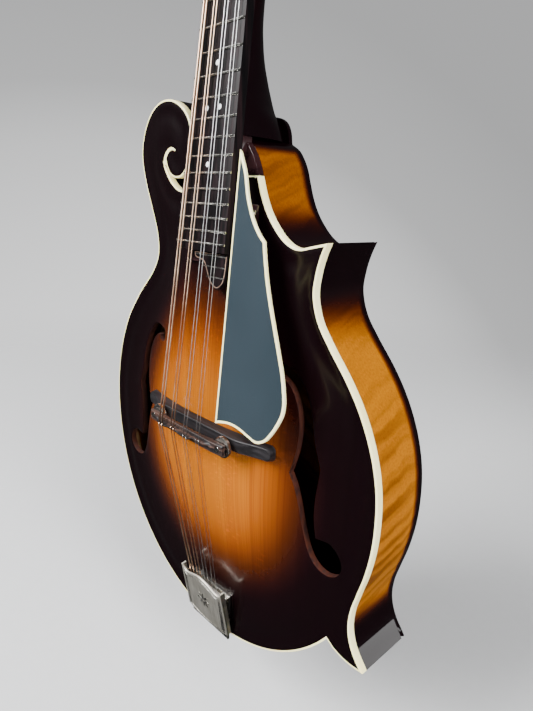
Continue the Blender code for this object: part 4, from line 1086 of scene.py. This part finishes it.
def make_neck():
    """The neck with its heel, and the headstock with its overlay and truss-rod cover."""
    rings = []
    for z, depth, squareness, back in smooth(HEEL_SECTIONS, 5):
        along = (z - NUT_Z) / math.cos(NECK_PITCH)
        width = board_half_width(min(along, 0)) - 0.1
        xs, outs = half_round(lambda sine: width + (back - width) * sine, depth, squareness,
                              board_front(z) - BOARD_THICKNESS)
        rings.append(np.column_stack((xs, np.full(RING_POINTS, z), outs)))
    to_body = np.array(BODY.inverted() @ HEAD)
    for along, width, squareness in ((5.0, 15.2, 3.0), (8.5, 16.4, 6.0), (14.0, 17.6, 9.0)):
        xs, outs = half_round(lambda sine: width + 0 * sine, 13.0, squareness, -2.3)
        local = np.column_stack((xs, np.full(RING_POINTS, along), outs)) * MM
        rings.append((local @ to_body[:3, :3].T + to_body[:3, 3]) / MM)
    mesh = lofted("neck_fine", rings, BODY)
    mesh = cut(mesh, slab(*ROD_POCKET, HEAD))
    _, z, _ = body_places(mesh)
    reddish = 0.66 + 0.34 * fade(-z, -430, -360) + 0.2 * fade(z, 470, 520)
    paint(mesh, "shade", np.clip(reddish, 0, 1))
    piece("neck_fine", mesh, ("neck",), replaces=("neck",))

    posts = [(side * POST_ROW, place) for side in (-1, 1) for place in TUNER_PLACES]
    holes = [circle(*place, 3.7) for place in posts]
    mesh = plate("headstock_fine", [head_loop((16.0, 7.5)), *holes], -2.1, HEAD_LOW, HEAD,
                 eased(1.0, 0.3, -1))
    mesh = cut(mesh, slab(*ROD_POCKET, HEAD))
    x, _, _ = body_places(mesh)
    paint(mesh, "shade", 0.72 + 0.2 * fade(np.abs(x), 8, 30))
    piece("headstock_fine", mesh, ("neck",), replaces=("neck",))

    loops = [head_loop((14.6, 0.7)), *holes, [(-4.5, 5), (4.5, 5), (4.5, 19), (-4.5, 19)]]
    mesh = plate("overlay_fine", loops, -2.0, 0, HEAD, eased(0.5, 0.15))
    piece("overlay_fine", mesh, ("ebony",), replaces=("headstock_overlay",))

    half = smooth([(0, 26.5), (5.5, 24.0), (9.5, 16.0), (9.8, 7.5), (8.0, 3.0), (0, 2.2)])
    loop = half + [(-x, y) for x, y in reversed(half[1:-1])]
    mesh = plate("rod_cover_fine", [loop], 0.1, 1.8, HEAD)
    piece("rod_cover_fine", mesh, ("guard",), replaces=("truss_rod_cover",))
    line = strip("rod_cover_line", inset(turned_way(loop, True), 0.7, True), 0.5, 1.6, 1.86, HEAD)
    piece("rod_cover_line", line, ("cream",))
    screws = [screw(HEAD @ moved(x, y, 1.8), 1.5, 0.6) for x, y in ((0, 22.6), (-6.2, 6.2), (6.2, 6.2))]
    piece("rod_cover_screws", screws, ("nickel",))


def head_loop(root):
    """The headstock's outline from its root up: shoulders, a slight waist and a rounded crest."""
    half = smooth([
        root, (18.2, 12.0), (25.0, 17.5), (30.5, 25.0), (31.4, 38.0), (29.6, 62.0),
        (28.4, 88.0), (29.4, 108.0), (33.5, 126.0), (38.0, 139.0), (38.5, 146.5),
        (33.5, 151.0), (24.5, 151.5), (15.0, 155.0), (8.0, 163.5), (0.0, 168.0),
    ])
    return half + [(-x, y) for x, y in reversed(half[:-1])]


# The fingerboard

def fret_wire(along, half):
    """One crowned fret with bevelled ends."""
    rings = []
    for x, share in ((-half, 0.25), (-half + 0.7, 1.0), (half - 0.7, 1.0), (half, 0.25)):
        ring = [(along - 0.62, -0.3, x)]
        for step in range(9):
            angle = math.pi * (1 - step / 8)
            ring.append((along + 0.62 * math.cos(angle), 0.95 * share * math.sin(angle) ** 0.8, x))
        ring.append((along + 0.62, -0.3, x))
        rings.append(ring)
    return lofted("fret", rings, NECK @ ACROSS)


def make_fingerboard():
    """The board, its stepped and scooped end with inlaid lines, the frets, dots and nut."""
    end = fret_along(FRET_COUNT)
    step = end - 4.3
    right = board_half_width(end)
    loop = [(-NUT_HALF_WIDTH, 0), (NUT_HALF_WIDTH, 0), (right, end), (right + 0.05, step), (-9.3, step)]
    loop += smooth([(-9.4, end - 4.7), (-14.0, end - 4.2), (-19.4, end - 2.4), (-right, end - 0.4)])
    edge = eased(0.3, 0.08)
    mesh = plate("board_fine", [loop], -BOARD_THICKNESS, 0, NECK, edge)
    piece("board_fine", mesh, ("board",), replaces=("fingerboard",))

    tail = smooth([(right + 0.05, step), (21.8, end - 8.0), (21.7, end - 14.5), (20.3, end - 20.5),
                   (15.8, end - 24.0), (11.1, end - 23.0), (6.9, end - 19.4), (3.6, end - 14.2),
                   (0.6, end - 10.4), (-6.6, end - 8.8), (-8.8, end - 4.7)])
    loop = [(-9.0, step + 0.2)] + [(right, step + 0.2)] + tail
    mesh = plate("board_end_fine", [loop], -BOARD_THICKNESS, -3.0, NECK, edge)
    piece("board_end_fine", mesh, ("board",), replaces=("fingerboard",))
    mesh = strip("board_end_line", inset(turned_way(loop, True), 0.9, True), 0.55, -3.2, -2.96, NECK)
    piece("board_end_line", mesh, ("copper",))
    lines = []
    for number, left in ((21, -6.8), (22, 0.4), (23, 5.0)):
        along = fret_along(number)
        lines.append(slab((left, along - 0.35, -3.2), (20.4, along + 0.35, -2.9), NECK))
    piece("board_end_frets", lines, ("fret",))

    wires = [fret_wire(fret_along(n), board_half_width(fret_along(n)) - 0.15)
             for n in range(1, FRET_COUNT + 1)]
    piece("frets_fine", wires, ("fret",))

    dots = []
    for number, places in ((3, (0,)), (5, (0,)), (7, (0,)), (10, (0,)), (12, (-5.5, 5.5)), (15, (0,))):
        along = (fret_along(number) + fret_along(number - 1)) / 2
        for x in places:
            dots.append(turned("dot", ((1.4, -0.3), (1.4, 0.0), (1.3, 0.04), (0, 0.05)),
                               NECK @ moved(x, along), 32))
    piece("dots", dots, ("pearl",))
    softened("nut", "bone", 0.3)


# The bridge

SADDLE_OFFSETS = ((-24, -0.9), (-14.8, -0.9), (-8.2, 0.5), (-5.0, 0.5), (-0.6, -0.9), (5.0, -0.9),
                  (8.2, -1.1), (12.6, 1.0), (24, 1.0))


def bridge_section(x, low, high, z_low, z_high, top_low, top_high, corner):
    """One section of the bridge across x: a flat foot and rounded upper corners."""
    points = [(z_low, low), (z_high, low)]
    corners = ((top_high - corner, top_high, 1), (top_low + corner, top_low, -1))
    for inner, outer, way in corners:
        arc = []
        for step in range(5):
            angle = math.pi / 2 * step / 4
            arc.append((inner + (outer - inner) * math.cos(angle),
                        high - corner + corner * math.sin(angle)))
        points += arc if way == 1 else arc[::-1]
    return [(z, front, x) for z, front in points]


def make_bridge():
    """The base on its posts, the compensated saddle and the knurled thumbwheels."""
    rings = []
    for step in range(61):
        x = 59.5 * math.sin(math.pi / 2 * (step / 30 - 1))
        low = top_front(x, POST_Z) + 0.3
        reach = abs(x)
        high = float(np.interp(reach, (0, 36, 41, 47, 53, 58, 59.5),
                               (37.9, 37.9, 37.0, 34.7, 32.7, 31.7, 31.2)))
        high = max(high, low + 1.5)
        pinch = 2.2 * max(0, (reach - 56.5) / 3.0) ** 2.5
        rings.append(bridge_section(x, low, high, 162.0 + pinch, 171.5 - pinch, 163.0 + pinch,
                                    170.5 - pinch, min(0.8, (high - low) / 2)))
    mesh = lofted("bridge_base_fine", rings, SIDE)
    piece("bridge_base_fine", mesh, ("bridge",), replaces=("bridge_base",))

    rings = []
    xs = sorted({*np.linspace(-36, 36, 73), *(x for x, _ in SADDLE_OFFSETS)})
    for x in xs:
        reach = abs(x)
        bottom = float(np.interp(reach, (0, 12, 22, 36), (44.6, 44.6, 43.0, 43.0)))
        shelf = float(np.interp(reach, (0, 24, 29, 35, 36), (46.6, 46.6, 46.3, 45.8, 45.3)))
        ridge = float(np.interp(reach, (0, 22.4, 26.5, 29, 36),
                                (SADDLE_TOP, SADDLE_TOP, 47.2, 46.35, 45.3)))
        middle = 165.0 + float(np.interp(x, *zip(*SADDLE_OFFSETS))) * (reach < 27)
        ridge = max(ridge, shelf + 0.02)
        section = [(161.8, bottom), (168.0, bottom), (168.0, shelf - 0.4), (167.6, shelf),
                   (middle + 1.3, shelf + 0.01), (middle + 0.55, ridge - 0.15), (middle + 0.3, ridge),
                   (middle - 0.3, ridge), (middle - 0.55, ridge - 0.15), (middle - 1.3, shelf + 0.01),
                   (162.2, shelf), (161.8, shelf - 0.4)]
        rings.append([(z, front, x) for z, front in section])
    mesh = lofted("saddle_fine", rings, SIDE)
    holes = [rod(side * POST_X, POST_Z, 1.85, 40, 50, BODY) for side in (-1, 1)]
    piece("saddle_fine", cut(mesh, *holes), ("saddle",), "saddle", ("bridge_saddle",))

    for side, label in ((-1, "bass"), (1, "treble")):
        place = BODY @ moved(side * POST_X, POST_Z)
        profile = [(1.3, top_front(side * POST_X, POST_Z) + 0.6)]
        height = 37.0
        while height < 45.8:
            profile += [(1.32, height), (1.5, height + 0.2)]
            height += 0.4
        profile += [(1.2, 46.0), (0, 46.0)]
        mesh = turned(f"{label}_post_fine", profile, place, 24)
        piece(f"{label}_post_fine", mesh, ("nickel",), replaces=(f"{label}_bridge_post",))
        teeth = []
        for tooth in range(120):
            angle = math.pi * tooth / 60
            radius = 6.28 if tooth % 2 else 6.08
            teeth.append((radius * math.cos(angle), radius * math.sin(angle)))
        lower = plate("wheel_low", [teeth, circle(0, 0, 1.8)], 41.35, 40.15, place,
                      eased(0.5, 0.15, -1))
        upper = plate("wheel_high", [teeth, circle(0, 0, 1.8)], 41.35, 42.55, place,
                      eased(0.5, 0.15))
        piece(f"{label}_wheel_fine", [lower, upper], ("nickel", "nickel"), f"{label}_wheel",
              (f"{label}_thumbwheel",))


# Pickguard and tailpiece

def make_pickguard():
    """The floating pickguard, its cream edge, and the bracket and screw that hold it."""
    right = smooth([(22.6, 324.2), (25.9, 318.5), (29.0, 312.6), (31.0, 306.7), (33.0, 300.9),
                    (35.8, 295.1), (39.3, 289.4), (44.0, 283.8), (48.8, 279.7)])
    right += smooth([(49.2, 278.0), (50.9, 271.8), (54.2, 261.3), (58.6, 250.1), (63.5, 239.0),
                     (68.4, 228.1), (73.0, 217.2), (76.2, 206.0), (76.4, 199.4), (74.5, 193.8),
                     (71.2, 187.6), (66.6, 181.6), (60.6, 178.7), (54.4, 179.6), (46.4, 181.4),
                     (38.6, 181.7), (31.0, 180.2), (26.8, 178.8)])
    path = turned_way([(x, (z - NUT_Z) / math.cos(NECK_PITCH)) for x, z in right], True)
    low, high = GUARD_SURFACE - GUARD_THICKNESS, GUARD_SURFACE
    edge = eased(0.3, 0.08)
    mesh = plate("guard_fine", [inset(path, GUARD_BINDING, True)], low, high, NECK, SHARP_EDGE)
    piece("guard_fine", mesh, ("guard", "guard"), replaces=("pickguard",))
    mesh = plate("guard_binding_fine", [path, inset(path, GUARD_BINDING, True)], low, high, NECK, edge)
    piece("guard_binding_fine", mesh, ("cream", "cream"), replaces=("pickguard_binding",))

    softened("pickguard_bracket", "dark", 0.5)
    side = BODY @ moved(34.0, 292.5, 26.5) @ Matrix.Rotation(math.pi / 2, 4, "Y")
    piece("guard_screw", screw(side, 2.0, 0.9), ("nickel",))


def lid_place(x, z):
    """A place on the tailpiece lid for a plan place, in the lid's own frame."""
    return x, (z - COVER_TAIL_Z) / math.cos(COVER_SLOPE)


def make_tailpiece():
    """The base with its hooks, and the sheet cover with its engraved lines, which slides off."""
    softened("tailpiece_base", "nickel", 0.25)
    half = COVER_HALF_WIDTH
    lid_frame = BODY @ moved(0, COVER_TAIL_Z, COVER_TAIL_FRONT) @ Matrix.Rotation(COVER_SLOPE, 4, "X")
    front = smooth([(-half, 54.5), (-18.5, 51.3), (-14.5, 50.9), (-8.0, 53.2), (0, 54.6),
                    (8.0, 53.2), (14.5, 50.9), (18.5, 51.3), (half, 54.5)])
    tail = smooth([(half, 18.6), (12.0, 15.9), (0, 14.8), (-12.0, 15.9), (-half, 18.6)])
    loop = [lid_place(x, z) for x, z in front + tail]
    loop = turned_way(loop, True)

    def crown(x, y):
        return 0.45 * np.maximum(1 - (x / half) ** 2, 0) * np.sin(np.pi * np.clip(y / 42, 0, 1))

    sheet = plate("cover_lid", [loop], -COVER_SHEET, 0.0, lid_frame,
                  eased(0.6, 0.18), 2.5, crown)
    walls = []
    for side in (-1, 1):
        low, high = sorted((side * (half - 1.2), side * half))
        line = [(3.4, -0.5), (39.4, -0.5), (39.4, -COVER_DEPTH), (3.4, -COVER_DEPTH)]
        walls.append(plate("cover_wall", [line], low, high, lid_frame @ ACROSS,
                           eased(0.25, 0.07)))
    piece("cover_fine", [sheet, *walls], ("satin", "satin"), "cover", ("tailpiece_cover",))
    lines = []
    for distance, width in ((1.9, 0.45), (3.0, 0.25)):
        ring = inset(loop, distance, True)
        lines.append(plate("cover_line", [ring, inset(ring, width, True)], -0.2, 0.14, lid_frame,
                           SHARP_EDGE, 0, crown))
    for turn in range(8):
        angle = math.pi / 4 * turn
        petal = []
        for step in range(24):
            t = 2 * math.pi * step / 24
            along, across = 3.4 + 2.6 * math.cos(t), 0.9 * math.sin(t)
            petal.append((along * math.cos(angle) - across * math.sin(angle),
                          21 + along * math.sin(angle) + across * math.cos(angle)))
        lines.append(plate("cover_petal", [petal], -0.2, 0.16, lid_frame, SHARP_EDGE, 0, crown))
    piece("cover_engraving", lines, ("nickel", "nickel"), "cover")


def make_strap_button():
    """The turned end pin."""
    profile = smooth([(0.0, 33.0), (3.5, 33.0)], 1) + [(3.5, 13.1), (6.2, 13.0)]
    profile += smooth([(6.6, 12.7), (6.7, 11.8), (5.6, 10.0), (4.3, 8.4), (4.0, 6.6), (4.5, 4.6),
                       (6.3, 2.8), (7.2, 1.9), (7.0, 0.6), (6.4, 0.1)]) + [(5.8, 0), (0, 0)]
    mesh = turned("strap_button_fine", profile, Matrix(), 48)
    piece("strap_button_fine", mesh, ("ebony",), replaces=("strap_button",))


# Strings and tuners

# the outer spread, and the gap in a pair
AT_SADDLE = (39.6, 2.9)
AT_NUT = (23.3, 2.3)
EYE_RADIUS = 1.4


def spread(number, outer, pair):
    """Where a string crosses: four courses across an outer spread, two strings a pair apart."""
    course, second = divmod(number, 2)
    return -(outer - pair) / 2 + course * (outer - pair) / 3 + (second - 0.5) * pair


def string_post(number):
    """The side and place of the post that a string winds on, the outer courses the lowest."""
    return (-1, TUNER_PLACES[number]) if number < 4 else (1, TUNER_PLACES[7 - number])


def hook_x(number):
    """Where a string's hook is across the tailpiece."""
    return -14.0 + 4.0 * number


def wind_out(number):
    """How far out on its post a string's first turn lies, in turn lower and higher."""
    return 6.5 + 0.6 * (number % 2)


def string_places(number):
    """A string's world places in millimetres: hook, saddle, nut and post."""
    radius = STRING_RADII[number // 2]
    side, place = string_post(number)
    edge = side * (POST_ROW - POST_RADIUS - radius)
    offset = float(np.interp(spread(number, *AT_SADDLE), *zip(*SADDLE_OFFSETS)))
    local = ((BODY, (hook_x(number), 44.2, 28.0 - radius)),
             (BODY, (spread(number, *AT_SADDLE), BRIDGE_Z + offset, SADDLE_TOP + 0.02 + radius)),
             (NECK, (spread(number, *AT_NUT), 2.5, 1.05 + radius)),
             (HEAD, (edge, place - 0.4, wind_out(number))))
    return [np.array(place_frame @ (Vector(place) * MM)) / MM for place_frame, place in local]


def make_strings():
    """Each string in two lengths that meet just past the saddle, and its turns on the post."""
    for number, label in enumerate(COURSES):
        radius = STRING_RADII[number // 2]
        finish = "bronze" if number < 4 else "steel"
        hook, saddle, nut, post = string_places(number)
        over = saddle + (nut - saddle) * 0.003
        back = [hook + (saddle - hook) * t for t in np.linspace(0, 1, 9)]
        mesh = tube(f"string_{label}_tail", [*back, over], radius)
        made = bpy.data.objects.new(f"string_{label}_tail", mesh)
        main = [over + (nut - over) * t for t in np.linspace(0, 1, 25)] + [post]
        long = bpy.data.objects.new(f"string_{label}_main", tube(f"string_{label}_main", main, radius))
        for obj, far in ((made, hook), (long, nut)):
            bpy.context.scene.collection.objects.link(obj)
            obj.data.materials.append(FINISHES[finish].material)
            obj.data.shade_smooth()
            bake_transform(obj)
            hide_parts(f"string_{label}")

        side, place = string_post(number)
        turns = []
        height = wind_out(number)
        for step in range(97):
            angle = math.pi * (0 if side < 0 else 1) - side * 2 * math.pi * step / 32
            reach = POST_RADIUS + radius
            spot = Vector((side * POST_ROW + reach * math.cos(angle), place + reach * math.sin(angle),
                           height - step / 32 * 2.1 * radius))
            turns.append(np.array(HEAD @ (spot * MM)) / MM)
        piece(f"winding_{label}", tube(f"winding_{label}", turns, radius, 8), (finish,),
              f"post_{label}")
        eye = []
        for step in range(25):
            angle = 2 * math.pi * step / 24
            spot = Vector((hook_x(number) + EYE_RADIUS * math.cos(angle),
                           HOOK_Z + 0.2 + EYE_RADIUS * math.sin(angle), 27.4 - 0.1 * (number % 2)))
            eye.append(np.array(BODY @ (spot * MM)) / MM)
        piece(f"string_eye_{label}", tube(f"string_eye_{label}", eye, 0.25, 8), (finish,))


def make_tuner(number, label):
    """One tuner: the post with its gear, the worm shaft with its button, and the bushing."""
    side, place = string_post(number)
    at = HEAD @ moved(side * POST_ROW, place)
    low = GEAR_OUT - 1.6
    profile = [(0, low), (2.2, low), (2.9, low + 0.3), (2.9, 4.6), (2.6, 5.2), (2.5, 8.4), (2.9, 9.0),
               (2.9, 13.0), (2.6, 13.7), (1.9, 14.0), (0, 14.0)]
    post = turned("post", profile, at, 32)
    teeth = []
    for tooth in range(GEAR_TEETH):
        for share, radius in ((0.0, 4.6), (0.22, 4.7), (0.38, 5.45), (0.62, 5.45), (0.78, 4.7)):
            angle = 2 * math.pi * (tooth + share - 0.25) / GEAR_TEETH
            teeth.append((radius * math.cos(angle), radius * math.sin(angle)))
    gear = plate("gear", [teeth, circle(0, 0, 2.85, 32)], GEAR_OUT + 1.2, GEAR_OUT - 1.2, at,
                 eased(0.2, 0.06, -1))
    piece(f"post_fine_{label}", [post, gear], ("nickel", "nickel"), f"post_{label}",
          (f"tuner_post_{label}",))

    bushing = washer("bushing", 3.3, ((4.9, 0.0), (4.9, 0.35), (4.4, 0.75), (3.8, 1.3), (3.5, 1.4)), at)
    piece(f"bushing_{label}", bushing, ("nickel",))

    outward = Matrix.Rotation(side * math.pi / 2, 4, "Y")
    worm_frame = HEAD @ moved(0, place - WORM_OFFSET, GEAR_OUT) @ outward
    profile = [(0, POST_ROW - 7.6), (1.5, POST_ROW - 7.6), (1.5, 10.7)]
    for turn in range(9):
        start = 10.9 + turn * 1.02
        profile += [(1.55, start), (1.98, start + 0.3), (1.98, start + 0.62), (1.55, start + 0.92)]
    profile += [(1.5, 20.3), (1.5, 34.6), (2.3, 34.9), (2.3, 35.8), (1.2, 36.1), (0, 36.4)]
    mesh = turned(f"shaft_fine_{label}", profile, worm_frame, 32)
    piece(f"shaft_fine_{label}", mesh, ("nickel",), f"shaft_{label}", (f"tuner_shaft_{label}",))
    knob = smooth([(1.4, 35.95), (3.6, 36.7), (5.4, 38.6), (6.45, 41.8), (5.4, 45.0), (3.4, 47.1),
                   (1.2, 47.9)])
    flat = worm_frame @ Matrix.Diagonal((0.6, 1, 1, 1))
    mesh = turned(f"knob_{label}", [(0, 35.9), *knob, (0, 48.0)], flat, 40)
    piece(f"knob_{label}", mesh, ("pearloid",), f"shaft_{label}", (f"tuner_shaft_{label}",))


def make_tuner_plates():
    """The engraved plates behind the headstock, with their screws."""
    for side, label in ((-1, "bass"), (1, "treble")):
        softened(f"{label}_tuner_plate", "nickel", 0.3)
        screws = []
        places = [TUNER_PLACES[0] - 14] + [place + 7.7 for place in TUNER_PLACES]
        for place in places:
            at = HEAD @ moved(side * POST_ROW, place, HEAD_LOW - 1.3) @ Matrix.Rotation(math.pi, 4, "X")
            screws.append(screw(at, 1.4, 0.6))
        piece(f"{label}_plate_screws", screws, ("steel",))


make_top()
make_sides()
make_scroll_inlay()
make_neck()
softened("extension_block", "dark", 0.6)
make_fingerboard()
make_bridge()
make_pickguard()
make_tailpiece()
make_strap_button()
make_strings()
for string_number, string_label in enumerate(COURSES):
    make_tuner(string_number, string_label)
make_tuner_plates()
refinish("inner", "head_block", "tail_block", "upper_point_block", "lower_point_block",
         "top_lining", "back_lining", "bass_tone_bar", "treble_tone_bar")
refinish("steel", "truss_rod", "truss_rod_nut")


# Stage, light and camera

FLOOR_Z = -0.06
FLOOR_REACH = 1.6
CAMERA_PLACE = Vector((0.246376, -0.219814, 0.298103))
CAMERA_TARGET = Vector((0.042233, -0.0205, 0.217688))
CAMERA_ROLL = 0.045
LENS = 27.43
SENSOR_WIDTH = 36.0
BRIGHT_SIDE = (-0.747, 0.397, -0.532)
WORLD_LEVELS = ((0.60, 0.48), (0.74, 0.60), (0.80, 0.84), (0.95, 1.25))
AMBIENT = 0.08
LAMPS = (
    # name, place, target, width, height, power in watts, and the rays that don't see it
    ("key", (-0.6, -1.6, 1.5), (0, 0, 0.25), 1.2, 1.2, 165, None),
    ("side", (1.9, -0.5, 1.3), (0.05, 0, 0.2), 0.9, 1.2, 110, "visible_glossy"),
    ("sheen", (1.9, -0.5, 1.3), (0.05, 0, 0.2), 1.1, 1.5, 16, "visible_diffuse"),
    ("behind", (1.45, 1.06, 0.30), (0.1, 0, 0.1), 0.4, 0.4, 2, "visible_diffuse"),
)


def make_floor():
    """A pale paper floor, a little below the tail, that fades into the pale surroundings."""
    mesh = bpy.data.meshes.new("floor")
    bm = bmesh.new()
    bmesh.ops.create_circle(bm, cap_ends=True, segments=96, radius=FLOOR_REACH,
                            matrix=Matrix.Translation((0, 0, FLOOR_Z)))
    bm.to_mesh(mesh)
    bm.free()
    paper = Finish("paper", roughness=0.9, specular_ior_level=0.1)
    grain = paper.noise((120, 120, 120), 1.0, 3.0)
    paper.colour(paper.mix(grain, (0.55, 0.555, 0.565, 1), (0.58, 0.585, 0.595, 1)))
    away = paper.node("VectorMath", ((0, paper.node("TexCoord").outputs["Object"]),), operation="LENGTH")
    solid_share = paper.spans(away.outputs["Value"], 0.35, FLOOR_REACH, 1.0, 0.0)
    paper.tree.links.new(solid_share, paper.shader.inputs["Alpha"])
    mesh.materials.append(paper.material)
    obj = bpy.data.objects.new("floor", mesh)
    obj.visible_glossy = False
    bpy.context.scene.collection.objects.link(obj)


def softbox(name, place, target, width, height, power, unseen):
    """A rectangular area light that faces a target, unseen by one kind of ray or none."""
    light = bpy.data.lights.new(name, "AREA")
    light.shape = "RECTANGLE"
    light.size, light.size_y = width, height
    light.energy = power
    obj = bpy.data.objects.new(name, light)
    bpy.context.scene.collection.objects.link(obj)
    obj.location = place
    obj.rotation_euler = (Vector(target) - Vector(place)).to_track_quat("-Z", "Y").to_euler()
    if unseen:
        setattr(obj, unseen, False)


def make_world():
    """Pale surroundings, brighter to one side, that light the object only softly."""
    world = bpy.data.worlds.new("studio")
    bpy.context.scene.world = world
    world.use_nodes = True
    tree = world.node_tree
    shader = tree.nodes["Background"]
    place = tree.nodes.new("ShaderNodeTexCoord")
    towards = tree.nodes.new("ShaderNodeVectorMath")
    towards.operation = "DOT_PRODUCT"
    tree.links.new(place.outputs["Generated"], towards.inputs[0])
    towards.inputs[1].default_value = BRIGHT_SIDE
    shade = tree.nodes.new("ShaderNodeValToRGB")
    tree.links.new(towards.outputs["Value"], shade.inputs[0])
    while len(shade.color_ramp.elements) > 1:
        shade.color_ramp.elements.remove(shade.color_ramp.elements[-1])
    for index, (share, level) in enumerate(WORLD_LEVELS):
        stop = shade.color_ramp.elements[0] if index == 0 else shade.color_ramp.elements.new(share)
        stop.position = share
        stop.color = (level, level * 1.005, level * 1.015, 1)
    ray = tree.nodes.new("ShaderNodeLightPath")
    strength = tree.nodes.new("ShaderNodeMapRange")
    tree.links.new(ray.outputs["Is Camera Ray"], strength.inputs[0])
    strength.inputs[3].default_value = AMBIENT
    tree.links.new(shade.outputs[0], shader.inputs["Color"])
    tree.links.new(strength.outputs[0], shader.inputs["Strength"])


def make_camera():
    """The photograph's viewpoint: low on the treble side, turned a little."""
    ahead = (CAMERA_TARGET - CAMERA_PLACE).normalized()
    right = ahead.cross(Vector((0, 0, 1))).normalized()
    up = right.cross(ahead)
    rolled_right = math.cos(CAMERA_ROLL) * right + math.sin(CAMERA_ROLL) * up
    rolled_up = math.cos(CAMERA_ROLL) * up - math.sin(CAMERA_ROLL) * right
    data = bpy.data.cameras.new("camera")
    data.lens = LENS
    data.sensor_width = SENSOR_WIDTH
    camera = bpy.data.objects.new("camera", data)
    bpy.context.scene.collection.objects.link(camera)
    turn = Matrix((rolled_right, rolled_up, -ahead)).transposed().to_4x4()
    camera.matrix_world = Matrix.Translation(CAMERA_PLACE) @ turn
    bpy.context.scene.camera = camera


make_floor()
make_world()
for lamp in LAMPS:
    softbox(*lamp)
make_camera()

bpy.context.view_layer.update()
